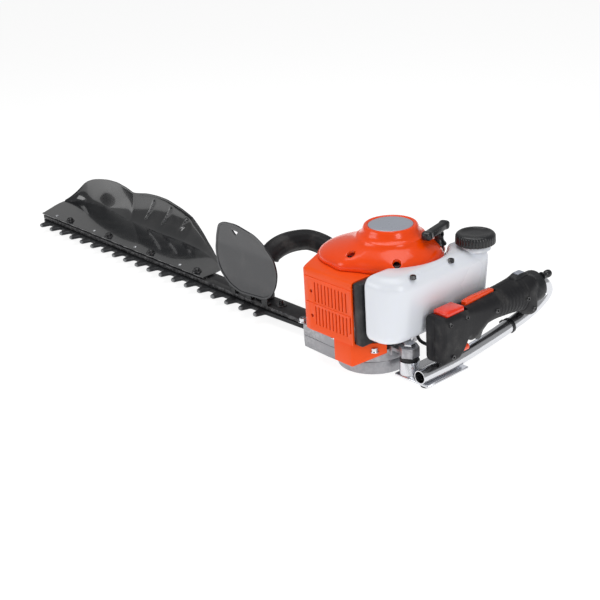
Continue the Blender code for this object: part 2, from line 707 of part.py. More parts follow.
def build_starter():
    outer = [(29.6, DOME_TOP_Z - 1.4), (29.8, DOME_TOP_Z), (33.5, DOME_TOP_Z - 0.4), (36.5, 170), (41, 162.5)]
    outer += [(48, 155.5), (56, 149.5), (63, 143.5), (65.5, 138), (65.5, RIM_Z)]
    inner = [(62.5, RIM_Z), (62.5, 137), (60, 141), (54, 146), (45.5, 152.5), (38, 160), (33, 170.5)]
    bm = bmesh.new()
    profile = [(0, DOME_TOP_Z - 1.4), *outer, *inner, (0, 170.5)]
    points = [bm.verts.new((radius * MM, 0, height * MM)) for radius, height in profile]
    edges = [bm.edges.new(pair) for pair in zip(points, points[1:])]
    bmesh.ops.spin(bm, geom=points + edges, cent=(0, 0, 0), axis=(0, 0, 1), angle=math.tau, steps=44, use_merge=True)
    bmesh.ops.remove_doubles(bm, verts=bm.verts, dist=0.000001)
    bmesh.ops.recalc_face_normals(bm, faces=bm.faces)
    for vert in bm.verts:
        radius = math.hypot(vert.co.x, vert.co.y) / MM
        if radius > 1:
            angle = math.atan2(vert.co.y, vert.co.x)
            share = housing_shape(angle, radius, vert.co.z / MM) / radius
            vert.co.x *= share
            vert.co.y *= share
    bmesh.ops.translate(bm, verts=bm.verts, vec=Vector((GEAR_X, CRANK_Y, 0)) * MM)
    housing = smooth(add_mesh("starter_housing", mesh_from(bm, "starter_housing")))
    join(housing, rod("pulley_post", (GEAR_X, CRANK_Y, 149.0), 5.0, 23.0, sides=16))
    finish(housing, ORANGE, 0.25)

    label = rod("label_disc", (GEAR_X, CRANK_Y, DOME_TOP_Z - 1.1), 29.0, 0.9, sides=40)
    finish(label, SILVER, 0.3, 0.2)
    pulley = turned(
        "starter_pulley",
        [(12.0, 159.0), (12.0, 157.6), (9.0, 156.4), (9.0, 152.6), (12.0, 151.4), (12.0, 150.0), (5.4, 150.0), (5.4, 159.0)],
        (GEAR_X, CRANK_Y, 0),
        steps=28,
    )
    finish(pulley, BLACK, 0.5)
    pivot("pulley_axis", (GEAR_X, CRANK_Y, 155), pulley)

    turns, count = 3.0, 60
    middle = [(8.0 + 7.0 * i / count, math.tau * turns * i / count) for i in range(count + 1)]
    band = [(r + 0.4, a) for r, a in middle] + [(r - 0.4, a) for r, a in reversed(middle)]
    spiral = [(GEAR_X + r * math.cos(a), CRANK_Y + r * math.sin(a)) for r, a in band]
    spring = slab("recoil_spring", [spiral[::-1]], 160.0, 168.0)
    finish(spring, STEEL, 0.3, 1.0)


ROPE_XY = (0.5, 85.0)
PULL_MIDDLE = Vector((5.0, 74.0, 166.3))
PULL_TURN = math.radians(14.5)


def build_starter_grip():
    guide = turned("rope_guide", [(2.6, 137.0), (2.6, 158.0), (6.0, 158.0), (6.0, 137.0)], (*ROPE_XY, 0), steps=24)
    finish(guide, BLACK, 0.5)
    # The rope stands upright below the grip, so that the pull rises clear of the fuel cap.
    rope = tube("starter_rope", [(*ROPE_XY, 77.0), (*ROPE_XY, 157.8)], 1.7, 2)
    finish(rope, BLACK, 0.8)
    grip = block("starter_grip", (-5.4, -29.0, -6.0), (5.4, 29.0, 6.0), 4.0, 3)
    grip.data.transform(Matrix.Translation(PULL_MIDDLE * MM) @ Matrix.Rotation(PULL_TURN, 4, "Z"))
    join(grip, tube("grip_stem", [(*ROPE_XY, 158.4), (*ROPE_XY, 164.0)], 4.5))
    finish(grip, BLACK, 0.5)
    pivot("starter_grip_axis", (*ROPE_XY, 158.0), grip, rope)
    cut(bpy.data.objects["starter_housing"], rod("guide_seat", (*ROPE_XY, 120.0), 6.5, 60.0, sides=24))


TANK_LOW, TANK_HIGH = 57.0, 141.0
CAP_XY = (43.0, 106.0)


def tank_outline(inset):
    return (
        arc(24, -24, 34 - inset, 270, 360, 7)
        + arc(38, 106, 20 - inset, 0, 90, 6)
        + arc(14, 116, 10 - inset, 90, 180, 3)
        + arc(13, -49, 9 - inset, 180, 270, 3)
    )


def build_tank():
    tank = slab("fuel_tank", [tank_outline(0)], TANK_LOW, TANK_HIGH)
    round_edges(tank, 10.0, 3, 60)
    join(tank, rod("neck", (*CAP_XY, 130), 17.0, 29.0, sides=28))
    hollow = slab("tank_hollow", [tank_outline(2.6)], TANK_LOW + 2.6, TANK_HIGH - 2.6)
    round_edges(hollow, 8.0, 2, 60)
    cut(hollow, rod("inner_recess", (GEAR_X, CRANK_Y, 127.4), 72.0, 40, sides=48))
    cut(tank, rod("dome_recess", (GEAR_X, CRANK_Y, 130), 74.0, 60, sides=48))
    for target, inset in ((tank, 0.0), (hollow, 2.6)):
        slope = block(f"{target.name}_slope", (0, -200, -60), (60, 200, 90))
        slope.data.transform(Matrix.Rotation(math.radians(7), 4, "Y"))
        slope.location = Vector((49.5 - inset, 20, TANK_LOW)) * MM
        cut(target, slope)
    cut(tank, hollow, rod("filler", (*CAP_XY, 120), 14.0, 50, sides=24))
    finish(tank, WHITE, 0.3)

    ribs = []
    count = 24
    for i in range(count):
        for radius, share in ((25.3, 0.0), (25.3, 0.5), (24.5, 0.6), (24.5, 0.9)):
            angle = math.tau * (i + share) / count
            ribs.append((CAP_XY[0] + radius * math.cos(angle), CAP_XY[1] + radius * math.sin(angle)))
    cap = slab("fuel_cap", [ribs], 149.5, 163.5)
    cut(cap, rod("cap_thread", (*CAP_XY, 140), 17.4, 20.5, sides=28))
    finish(cap, BLACK, 0.5)
    pivot("fuel_cap_axis", (*CAP_XY, 150), cap)


# ---- handles ----


def build_front_handle():
    knots = [
        (-262, 3, 24.0),
        (-262, 3, 62),
        (-259, 12, 84),
        (-256, 32, 95),
        (-255, 62, 95),
        (-244, 84, 91),
        (-212, 92, 80),
        (-155, 76, 58),
        (-122, 56, 38),
        (-112, 48, 20),
    ]
    path = smooth_path(knots, 4)
    handle = tube("front_handle", path, 9.5, 3)
    foot = block("handle_foot", (-122, 35.6, 12.0), (-100, 58, 21.0), 2.0)
    join(handle, foot)
    cut(handle, block("bar_seat", (-280, -20, 10), (-240, 20, BAR_Z[1] + GAP)))
    finish(handle, BLACK, 0.4, 0.5)
    sleeve = tube("front_grip", path[10:25], 15.0, 4)
    bore = tube("sleeve_bore", path[9:26], 9.8, 3)
    cut(sleeve, bore)
    finish(sleeve, BLACK, 0.7)

    outline = [(-321, 131), (-308, 136), (-280, 138), (-241, 130), (-224, 119), (-208, 101), (-202, 82), (-206, 63)]
    outline += [(-218, 43), (-232, 36), (-286, 32), (-312, 39), (-328, 50), (-337, 64), (-339, 88), (-334, 106)]
    hole = [(-294, 128), (-277, 127), (-286, 118)]
    shield = slab("hand_shield", [outline, hole], -21.0, -18.5, "XZ")
    finish(shield, DARK_GREY, 0.3)
    bracket = block("shield_bracket", (-318, -18.1, 31.0), (-232, -15.6, 46.0))
    for x in (-311, -275, -239):
        join(bracket, block(f"bracket_leg_{-x}", (x - 6, -17.9, BAR_Z[1] + 0.5), (x + 6, -15.8, 34)))
        join(bracket, block(f"bracket_toe_{-x}", (x - 5, -17.7, BAR_Z[1] + GAP), (x + 5, -9.0, BAR_Z[1] + 3)))
    finish(bracket, BLACK, 0.5)


def build_rear_tube():
    knots = [
        (TUBE_X, -28, 18.3),
        (TUBE_X, 32, 18.3),
        (TUBE_X, 96, 24),
        (TUBE_X, 142, 30),
        (TUBE_X + 1, 176, 37),
        (TUBE_X + 2, 198, 45),
        (TUBE_X + 4, 212, 57),
        (TUBE_X + 5, 207, 69),
        (GRIP_X, 194, 73.5),
        (GRIP_X, 178, 74),
        (GRIP_X, 146, 74),
    ]
    path = smooth_path(knots, 4)
    pipe = tube("rear_tube", path, TUBE_RADIUS, 3)
    start = path[0] + (path[0] - path[1])
    cut(pipe, tube("tube_bore", [start, *path], TUBE_RADIUS - TUBE_WALL, 3))
    finish(pipe, SILVER, 0.2, 1.0)

    plate = block("tube_plate", (23.0, -25.0, 5.2), (80.0, 50.0, 8.4), 0.8, 1)
    join(plate, rod("isolator_seat", (ISOLATOR_X, ISOLATOR_Y, 8.0), 13.0, 18.2, sides=24))
    cut(plate, rod("seat_bore", (ISOLATOR_X, ISOLATOR_Y, 14), 3.8, 20, sides=12))
    finish(plate, CAST, 0.35, 0.9)
    rubber = ring("isolator_rubber", 12.0, 3.8, 26.5, 31.7, (ISOLATOR_X, ISOLATOR_Y, 0), steps=24)
    finish(rubber, BLACK, 0.8)
    bolt = rod("isolator_bolt", (ISOLATOR_X, ISOLATOR_Y, 45.3), 8.0, 4.0, sides=6)
    join(bolt, rod("isolator_shank", (ISOLATOR_X, ISOLATOR_Y, 15.0), 3.4, 32.0, sides=12))
    finish(bolt, BLACK, 0.35, 0.8)
    for i, (x, y) in enumerate(((36.0, -11.0), (66.0, -14.0), (66.0, 24.0))):
        foot = turned(f"foot_{i + 1}", [(0, 4.9), (7.0, 4.9), (7.0, 1.0), (6.0, 0), (0, 0)], (x, y, 0), steps=16)
        finish(foot, BLACK, 0.6)


GRIP_OUTLINE = [
    (-6, 31),
    (-6, 93),
    (60, 93),
    (120, 92),
    (134, 97),
    (168, 97),
    (168, 46),
    (156, 43),
    (147, 54),
    (100, 57),
    (72, 56),
    (52, 43),
    (40, 52),
    (26, 33),
    (16, 31),
]


def build_rear_grip():
    low_x, high_x = GRIP_X - GRIP_WIDTH / 2, GRIP_X + GRIP_WIDTH / 2
    for name, waste_x in (("grip_back_half", GRIP_X + 0.15 - 30), ("grip_front_half", GRIP_X - 0.15)):
        half = slab(name, [rounded(GRIP_OUTLINE, 8.0)], low_x, high_x, "YZ")
        round_edges(half, 8.0, 3, 60)
        waste = block(f"{name}_waste", (waste_x, -20, 10), (waste_x + 30, 190, 120))
        cut(half, waste)
        cut(half, block(f"{name}_trigger_room", (GRIP_X - 7.5, 51, 30), (GRIP_X + 7.5, 95, 72)))
        cut(half, block(f"{name}_lever_room", (GRIP_X - 5, 44, 80), (GRIP_X + 5, 103, 120)))
        cut(half, block(f"{name}_switch_room", (GRIP_X - 12, 2, 89), (GRIP_X + 12, 41, 120)))
        cut(half, rod(f"{name}_button_room", (GRIP_X + 7, 9, 40), 5.0, 36, "Y", 16))
        cut(half, tube(f"{name}_tube_room", [(GRIP_X, 142, 74), (GRIP_X, 175, 74)], TUBE_RADIUS + 0.9))
        finish(half, BLACK, 0.5)

    collar = turned(
        "grip_collar",
        [(20.5, 186.0), (21.0, 184.0), (21.0, 172.0), (18.0, 168.3), (10.9, 168.3), (10.9, 186.0)],
        (GRIP_X, 0, 75.0),
        "Y",
        28,
    )
    finish(collar, BLACK, 0.5)

    trigger = slab(
        "throttle_trigger",
        [[(54, 47), (60, 46), (66, 40), (71, 41), (76, 50), (90, 59), (92, 63), (88, 68), (56, 62)]],
        GRIP_X - 6.8,
        GRIP_X + 6.8,
        "YZ",
    )
    finish(trigger, BLACK, 0.5)
    pivot("trigger_axis", (GRIP_X, 88, 63), trigger)
    lever = slab("lockout_lever", [[(46, 86), (46, 97), (60, 99), (99, 98.5), (100, 91), (60, 88)]], GRIP_X - 4, GRIP_X + 4, "YZ")
    finish(lever, ORANGE, 0.35)
    pivot("lockout_axis", (GRIP_X, 48, 88), lever)
    switch = block("stop_switch", (GRIP_X - 11.4, 3.0, 90.0), (GRIP_X + 11.4, 36.0, 98.0), 2.0)
    finish(switch, RED, 0.35)
    pivot("switch_axis", (GRIP_X, 20, 94), switch)
    button = rod("lock_button", (GRIP_X + 7, 14, 40), 4.6, 30, "Y", 16)
    finish(button, ORANGE, 0.4)
    pivot("button_axis", (GRIP_X + 7, 30, 40), button)

    knots = [(54.6, 8, 44), (50, 14, 40), (28, 17, 40), (8, 34, 44), (-2, 66, 50), (-3, 86, 62), (-10, 90, 73), (-21.6, 90, 74)]
    cable = tube("throttle_cable", smooth_path(knots, 4), 2.4, 2)
    finish(cable, BLACK, 0.6)


build_cutter()
build_deflector()
build_drive()
build_gearcase()
build_crankcase()
build_cylinder()
build_crank()
build_engine_fittings()
build_covers()
build_starter()
build_starter_grip()
build_tank()
build_front_handle()
build_rear_tube()
build_rear_grip()
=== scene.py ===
# Petrol hedge trimmer: looks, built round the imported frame.
# Lengths in the dictionaries are in millimetres, apart from the studio's, which are in metres.
import math

import bmesh
import bpy
from mathutils import Matrix, Vector


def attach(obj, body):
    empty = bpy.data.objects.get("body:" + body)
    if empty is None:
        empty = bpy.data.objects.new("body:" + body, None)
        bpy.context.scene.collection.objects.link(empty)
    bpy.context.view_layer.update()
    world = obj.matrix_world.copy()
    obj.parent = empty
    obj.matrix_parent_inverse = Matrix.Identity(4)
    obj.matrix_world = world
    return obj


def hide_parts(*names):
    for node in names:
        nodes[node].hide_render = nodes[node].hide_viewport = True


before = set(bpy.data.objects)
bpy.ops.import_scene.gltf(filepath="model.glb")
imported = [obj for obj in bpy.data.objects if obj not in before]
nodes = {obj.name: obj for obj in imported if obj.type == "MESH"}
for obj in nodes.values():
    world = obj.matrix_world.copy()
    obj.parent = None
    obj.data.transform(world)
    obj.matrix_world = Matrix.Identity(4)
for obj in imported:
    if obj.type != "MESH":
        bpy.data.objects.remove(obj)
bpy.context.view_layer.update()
mm = 0.001
print("frame loaded:", len(nodes), "nodes")

pieces = bpy.data.collections.new("trimmerPieces")
helpers = bpy.data.collections.new("helpers")
bpy.context.scene.collection.children.link(pieces)
bpy.context.scene.collection.children.link(helpers)


# camera, light and floor

studio = {
    "cameraPlace": (0.9554, -0.9568, 0.6706),
    "cameraRight": (0.66162, 0.74752, -0.05888),
    "cameraUp": (-0.25610, 0.29907, 0.91922),
    "cameraBack": (0.70475, -0.59310, 0.38931),
    "lens": 70.16,
    "roomLight": 0.22,
    "roomMirror": 0.34,
    "floorColour": (0.32, 0.32, 0.32),
    "floorGlow": 0.87,
    "lights": [
        ("topSoftbox", (-0.2, 0.1, 1.6), (-0.2, 0, 0), (1.6, 1.0), 12),
        ("leftSoftbox", (-1.0, -1.5, 0.9), (-0.2, 0, 0.08), (1.1, 0.7), 8),
        ("rightStrip", (1.3, -0.3, 0.7), (0, 0.05, 0.1), (0.4, 0.9), 6),
    ],
}


def makeCamera():
    data = bpy.data.cameras.new("mainCamera")
    data.lens = studio["lens"]
    data.sensor_width = 36.0
    data.clip_end = 50.0
    camera = bpy.data.objects.new("mainCamera", data)
    bpy.context.scene.collection.objects.link(camera)
    turn = Matrix((studio["cameraRight"], studio["cameraUp"], studio["cameraBack"])).transposed()
    camera.matrix_world = Matrix.Translation(studio["cameraPlace"]) @ turn.to_4x4()
    bpy.context.scene.camera = camera


def makeAreaLight(name, place, target, size, power):
    data = bpy.data.lights.new(name, "AREA")
    data.shape = "RECTANGLE"
    data.size, data.size_y = size
    data.energy = power
    light = bpy.data.objects.new(name, data)
    bpy.context.scene.collection.objects.link(light)
    light.location = place
    light.rotation_euler = (Vector(target) - Vector(place)).to_track_quat("-Z", "Y").to_euler()


def makeStudio():
    world = bpy.data.worlds.new("softRoom")
    bpy.context.scene.world = world
    world.use_nodes = True
    tree = world.node_tree
    background = tree.nodes["Background"]
    background.inputs["Color"].default_value = (1, 1, 1, 1)
    path = tree.nodes.new("ShaderNodeLightPath")
    mirrored = calculate(tree, "MULTIPLY", path.outputs["Is Glossy Ray"], studio["roomMirror"])
    seen = calculate(tree, "MAXIMUM", path.outputs["Is Camera Ray"], mirrored)
    tree.links.new(calculate(tree, "MAXIMUM", seen, studio["roomLight"]), background.inputs["Strength"])
    for name, place, target, size, power in studio["lights"]:
        makeAreaLight(name, place, target, size, power)

    size = 6.0
    bm = bmesh.new()
    bmesh.ops.create_grid(bm, x_segments=1, y_segments=1, size=size)
    mesh = bpy.data.meshes.new("studioFloor")
    bm.to_mesh(mesh)
    bm.free()
    floor = bpy.data.objects.new("studioFloor", mesh)
    bpy.context.scene.collection.objects.link(floor)
    floor.location.z = -0.0006
    floor.data.materials.append(makeFloorMaterial())


def makeFloorMaterial():
    material = bpy.data.materials.new("paleFloor")
    material.use_nodes = True
    tree = material.node_tree
    shader = tree.nodes["Principled BSDF"]
    shader.inputs["Base Color"].default_value = (*studio["floorColour"], 1)
    shader.inputs["Roughness"].default_value = 0.9
    shader.inputs["Specular IOR Level"].default_value = 0.0
    shader.inputs["Emission Color"].default_value = (1, 1, 1, 1)
    shader.inputs["Emission Strength"].default_value = studio["floorGlow"]
    return material


# shader node groups

def startGroup(name, inputs, outputs):
    group = bpy.data.node_groups.new(name, "ShaderNodeTree")
    for label, kind, value in inputs:
        socket = group.interface.new_socket(name=label, in_out="INPUT", socket_type=kind)
        socket.default_value = value
    for label, kind in outputs:
        group.interface.new_socket(name=label, in_out="OUTPUT", socket_type=kind)
    return group, group.nodes.new("NodeGroupInput"), group.nodes.new("NodeGroupOutput")


# Links a socket, or sets its value when given a number or colour
def feed(tree, value, socket):
    if isinstance(value, bpy.types.NodeSocket):
        tree.links.new(value, socket)
    else:
        socket.default_value = value


def addNode(tree, kind, **settings):
    node = tree.nodes.new(kind)
    for key, value in settings.items():
        setattr(node, key, value)
    return node


def objectCoords(tree):
    return addNode(tree, "ShaderNodeTexCoord").outputs["Object"]


def mixColours(tree, blend, factor, first, second):
    node = addNode(tree, "ShaderNodeMix", data_type="RGBA", blend_type=blend)
    for index, value in ((0, factor), (6, first), (7, second)):
        feed(tree, value, node.inputs[index])
    return node.outputs[2]


def calculate(tree, operation, first, second=0.0, third=0.0):
    node = addNode(tree, "ShaderNodeMath", operation=operation)
    for socket, value in zip(node.inputs, (first, second, third)):
        feed(tree, value, socket)
    return node.outputs[0]


def remap(tree, value, low, high, newLow, newHigh):
    node = addNode(tree, "ShaderNodeMapRange", interpolation_type="SMOOTHSTEP")
    tree.links.new(value, node.inputs["Value"])
    for label, number in (("From Min", low), ("From Max", high), ("To Min", newLow), ("To Max", newHigh)):
        feed(tree, number, node.inputs[label])
    return node.outputs["Result"]


def makeNoise(tree, coords, scale, detail=3.0):
    noise = addNode(tree, "ShaderNodeTexNoise")
    tree.links.new(coords, noise.inputs["Vector"])
    noise.inputs["Detail"].default_value = detail
    feed(tree, scale, noise.inputs["Scale"])
    return noise.outputs["Fac"]


# Handling marks: a slow change of tone, fine dust in broad patches and a roughness that follows both
def makeHandledSurface():
    group, entry, exitNode = startGroup(
        "handledSurface",
        [
            ("Colour", "NodeSocketColor", (0.5, 0.5, 0.5, 1)),
            ("Tone Change", "NodeSocketFloat", 0.06),
            ("Dust", "NodeSocketFloat", 0.05),
            ("Roughness", "NodeSocketFloat", 0.4),
            ("Roughness Change", "NodeSocketFloat", 0.08),
        ],
        [("Colour", "NodeSocketColor"), ("Roughness", "NodeSocketFloat")],
    )
    coords = objectCoords(group)
    slow = makeNoise(group, coords, 14.0, 3.0)
    patch = makeNoise(group, coords, 45.0, 5.0)
    speck = makeNoise(group, coords, 900.0, 2.0)
    tone = calculate(group, "MULTIPLY_ADD", slow, 2.0, -1.0)
    gain = calculate(group, "MULTIPLY_ADD", tone, entry.outputs["Tone Change"], 1.0)
    gainColour = addNode(group, "ShaderNodeCombineColor")
    for socket in gainColour.inputs[:3]:
        group.links.new(gain, socket)
    toned = mixColours(group, "MULTIPLY", 1.0, entry.outputs["Colour"], gainColour.outputs[0])
    dusty = calculate(group, "MULTIPLY", remap(group, patch, 0.48, 0.75, 0.0, 1.0), speck)
    dustMask = calculate(group, "MULTIPLY", dusty, entry.outputs["Dust"])
    colour = mixColours(group, "MIX", dustMask, toned, (0.55, 0.53, 0.50, 1))
    rough = calculate(group, "MULTIPLY_ADD", tone, entry.outputs["Roughness Change"],
                      entry.outputs["Roughness"])
    rough = calculate(group, "ADD", rough, calculate(group, "MULTIPLY", dustMask, 0.6))
    group.links.new(colour, exitNode.inputs["Colour"])
    group.links.new(rough, exitNode.inputs["Roughness"])
    return group


# Moulded grain: small cells over a fine noise, as a height
def makeMouldedGrain():
    group, entry, exitNode = startGroup(
        "mouldedGrain",
        [("Cell Size", "NodeSocketFloat", 1600.0), ("Fine Share", "NodeSocketFloat", 0.4)],
        [("Height", "NodeSocketFloat")],
    )
    coords = objectCoords(group)
    cells = addNode(group, "ShaderNodeTexVoronoi", feature="SMOOTH_F1")
    group.links.new(coords, cells.inputs["Vector"])
    group.links.new(entry.outputs["Cell Size"], cells.inputs["Scale"])
    fine = makeNoise(group, coords, 2600.0, 2.0)
    height = calculate(group, "MULTIPLY_ADD", fine, entry.outputs["Fine Share"], cells.outputs["Distance"])
    group.links.new(height, exitNode.inputs["Height"])
    return group


# Worn edges: lighter where the mesh is convex, broken up by noise
def makeWornEdges():
    group, entry, exitNode = startGroup(
        "wornEdges",
        [
            ("Colour", "NodeSocketColor", (0.5, 0.5, 0.5, 1)),
            ("Bare Colour", "NodeSocketColor", (0.6, 0.6, 0.6, 1)),
            ("Amount", "NodeSocketFloat", 0.4),
        ],
        [("Colour", "NodeSocketColor"), ("Mask", "NodeSocketFloat")],
    )
    coords = objectCoords(group)
    geometry = addNode(group, "ShaderNodeNewGeometry")
    edge = remap(group, geometry.outputs["Pointiness"], 0.52, 0.60, 0.0, 1.0)
    broken = remap(group, makeNoise(group, coords, 220.0, 6.0), 0.42, 0.62, 0.0, 1.0)
    mask = calculate(group, "MULTIPLY", calculate(group, "MULTIPLY", edge, broken), entry.outputs["Amount"])
    colour = mixColours(group, "MIX", mask, entry.outputs["Colour"], entry.outputs["Bare Colour"])
    group.links.new(colour, exitNode.inputs["Colour"])
    group.links.new(mask, exitNode.inputs["Mask"])
    return group


# Tool marks: long fine lines along one direction, as a height
def makeToolMarks():
    group, entry, exitNode = startGroup(
        "toolMarks",
        [("Stretch", "NodeSocketVector", (1.0, 1.0, 1.0)), ("Line Size", "NodeSocketFloat", 900.0)],
        [("Height", "NodeSocketFloat")],
    )
    coords = objectCoords(group)
    stretched = addNode(group, "ShaderNodeVectorMath", operation="MULTIPLY")
    group.links.new(coords, stretched.inputs[0])
    group.links.new(entry.outputs["Stretch"], stretched.inputs[1])
    lines = makeNoise(group, stretched.outputs[0], entry.outputs["Line Size"], 4.0)
    group.links.new(lines, exitNode.inputs["Height"])
    return group


# Sand-cast skin: pits and soft lumps, as a height
def makeCastSkin():
    group, entry, exitNode = startGroup(
        "castSkin", [("Lump Size", "NodeSocketFloat", 420.0)], [("Height", "NodeSocketFloat")]
    )
    coords = objectCoords(group)
    lumps = makeNoise(group, coords, entry.outputs["Lump Size"], 5.0)
    pits = addNode(group, "ShaderNodeTexVoronoi", feature="F1")
    group.links.new(coords, pits.inputs["Vector"])
    pits.inputs["Scale"].default_value = 700.0
    pit = remap(group, pits.outputs["Distance"], 0.0, 0.35, 0.0, 1.0)
    group.links.new(calculate(group, "MULTIPLY_ADD", pit, 0.5, lumps), exitNode.inputs["Height"])
    return group


handledSurface = makeHandledSurface()
mouldedGrain = makeMouldedGrain()
wornEdges = makeWornEdges()
toolMarks = makeToolMarks()
castSkin = makeCastSkin()
print("node groups ready")


# materials

def addGroup(tree, group, **values):
    node = addNode(tree, "ShaderNodeGroup", node_tree=group)
    for label, value in values.items():
        feed(tree, value, node.inputs[label.replace("_", " ")])
    return node


def finishMaterial(name, look):
    material = bpy.data.materials.new(name)
    material.use_nodes = True
    tree = material.node_tree
    shader = tree.nodes["Principled BSDF"]
    colour = (*look["colour"], 1)
    if "bareColour" in look:
        edges = addGroup(tree, wornEdges, Colour=colour, Bare_Colour=(*look["bareColour"], 1),
                         Amount=look["wear"])
        colour = edges.outputs["Colour"]
    if "paint" in look:
        colour = look["paint"](tree, colour)
    surface = addGroup(
        tree,
        handledSurface,
        Colour=colour,
        Tone_Change=look.get("toneChange", 0.05),
        Dust=look.get("dust", 0.04),
        Roughness=look["roughness"],
        Roughness_Change=look.get("roughnessChange", 0.06),
    )
    tree.links.new(surface.outputs["Colour"], shader.inputs["Base Color"])
    tree.links.new(surface.outputs["Roughness"], shader.inputs["Roughness"])
    shader.inputs["Metallic"].default_value = look.get("metallic", 0.0)
    shader.inputs["Coat Weight"].default_value = look.get("coat", 0.0)
    shader.inputs["Coat Roughness"].default_value = look.get("coatRoughness", 0.08)
    shader.inputs["Specular IOR Level"].default_value = look.get("specular", 0.5)
    shader.inputs["Subsurface Weight"].default_value = look.get("subsurface", 0.0)
    shader.inputs["Subsurface Radius"].default_value = (0.01, 0.01, 0.012)
    shader.inputs["Subsurface Scale"].default_value = 0.5
    heightNode = look["relief"](tree)
    bump = addNode(tree, "ShaderNodeBump")
    bump.inputs["Strength"].default_value = look.get("bump", 0.2)
    bump.inputs["Distance"].default_value = look.get("bumpDistance", 0.0002)
    tree.links.new(heightNode.outputs["Height"], bump.inputs["Height"])
    tree.links.new(bump.outputs["Normal"], shader.inputs["Normal"])
    return material


def grainRelief(cellSize, fineShare=0.4):
    return lambda tree: addGroup(tree, mouldedGrain, Cell_Size=cellSize, Fine_Share=fineShare)


def lineRelief(stretch, lineSize):
    return lambda tree: addGroup(tree, toolMarks, Stretch=stretch, Line_Size=lineSize)


def castRelief(lumpSize):
    return lambda tree: addGroup(tree, castSkin, Lump_Size=lumpSize)


# Ground steel shows towards the tooth tips, black finish behind them
def groundTips(tree, colour):
    coords = objectCoords(tree)
    split = addNode(tree, "ShaderNodeSeparateXYZ")
    tree.links.new(coords, split.inputs[0])
    edge = calculate(tree, "MULTIPLY_ADD", makeNoise(tree, coords, 260.0, 4.0), 0.006, split.outputs["Y"])
    mask = remap(tree, edge, -0.0325, -0.029, 0.75, 0.0)
    return mixColours(tree, "MIX", mask, colour, (0.34, 0.35, 0.36, 1))


looks = {
    "orangeMoulding": {
        "colour": (1.0, 0.070, 0.0005), "roughness": 0.24, "specular": 0.35, "coat": 0.25,
        "coatRoughness": 0.06, "relief": grainRelief(900.0, 1.0), "bump": 0.05, "toneChange": 0.03,
        "dust": 0.02,
    },
    "orangeSatin": {
        "colour": (1.0, 0.090, 0.002), "roughness": 0.42, "specular": 0.3, "relief": grainRelief(1500.0),
        "bump": 0.12, "dust": 0.03,
    },
    "redSwitch": {
        "colour": (0.95, 0.035, 0.006), "roughness": 0.22, "coat": 0.5, "relief": grainRelief(1200.0),
        "bump": 0.06, "dust": 0.02,
    },
    "blackMoulding": {
        "colour": (0.012, 0.013, 0.015), "roughness": 0.42, "specular": 0.35,
        "relief": grainRelief(1500.0, 0.6), "bump": 0.35, "dust": 0.10, "bareColour": (0.06, 0.06, 0.065),
        "wear": 0.5,
    },
    "blackGloss": {
        "colour": (0.010, 0.011, 0.013), "roughness": 0.26, "relief": grainRelief(1300.0), "bump": 0.10,
        "dust": 0.06, "bareColour": (0.07, 0.07, 0.075), "wear": 0.3,
    },
    "gripRubber": {
        "colour": (0.010, 0.010, 0.012), "roughness": 0.55, "specular": 0.3,
        "relief": grainRelief(1100.0, 0.8), "bump": 0.5, "dust": 0.14, "roughnessChange": 0.1,
    },
    "guardPaint": {
        "colour": (0.007, 0.008, 0.010), "roughness": 0.16, "coat": 0.8, "coatRoughness": 0.05,
        "relief": grainRelief(700.0, 1.2), "bump": 0.06, "dust": 0.05, "toneChange": 0.1,
        "bareColour": (0.12, 0.12, 0.13), "wear": 0.5,
    },
    "shieldMoulding": {
        "colour": (0.014, 0.015, 0.019), "roughness": 0.22, "coat": 0.3, "relief": grainRelief(1200.0),
        "bump": 0.12, "dust": 0.06, "bareColour": (0.15, 0.15, 0.16), "wear": 0.4,
    },
    "barFinish": {
        "colour": (0.012, 0.012, 0.014), "roughness": 0.38, "metallic": 0.2,
        "relief": lineRelief((0.03, 1, 1), 900.0), "bump": 0.25, "dust": 0.08,
        "bareColour": (0.30, 0.30, 0.31), "wear": 0.5,
    },
    "bladeSteel": {
        "colour": (0.022, 0.023, 0.026), "roughness": 0.36, "metallic": 0.5,
        "relief": lineRelief((1, 0.05, 1), 1100.0), "bump": 0.3, "dust": 0.05, "paint": groundTips,
    },
    "brightSteel": {
        "colour": (0.72, 0.73, 0.76), "roughness": 0.20, "metallic": 1.0,
        "relief": lineRelief((1, 0.04, 0.3), 1400.0), "bump": 0.15, "dust": 0.05,
    },
    "machinedSteel": {
        "colour": (0.42, 0.43, 0.45), "roughness": 0.30, "metallic": 1.0,
        "relief": lineRelief((1, 1, 0.05), 1000.0), "bump": 0.2, "dust": 0.05,
    },
    "boltBlack": {
        "colour": (0.014, 0.014, 0.016), "roughness": 0.24, "metallic": 0.3, "relief": grainRelief(1700.0),
        "bump": 0.1, "dust": 0.04, "bareColour": (0.30, 0.30, 0.31), "wear": 0.5,
    },
    "castAluminium": {
        "colour": (0.34, 0.34, 0.36), "roughness": 0.40, "metallic": 0.85, "relief": castRelief(420.0),
        "bump": 0.35, "dust": 0.12, "toneChange": 0.08, "bareColour": (0.85, 0.85, 0.86), "wear": 0.5,
    },
    "tankPlastic": {
        "colour": (0.84, 0.87, 0.93), "roughness": 0.26, "subsurface": 0.15,
        "relief": grainRelief(500.0, 1.0), "bump": 0.05, "dust": 0.02, "toneChange": 0.015,
    },
    "labelSheet": {
        "colour": (0.46, 0.49, 0.56), "roughness": 0.28, "metallic": 0.35,
        "relief": lineRelief((0.05, 1, 1), 900.0), "bump": 0.08, "dust": 0.02,
    },
    "braidedRope": {
        "colour": (0.02, 0.02, 0.022), "roughness": 0.8, "relief": lineRelief((1, 1, 0.3), 900.0),
        "bump": 0.6,
    },
}
materials = {name: finishMaterial(name, look) for name, look in looks.items()}
print("materials ready:", len(materials))


# mesh helpers

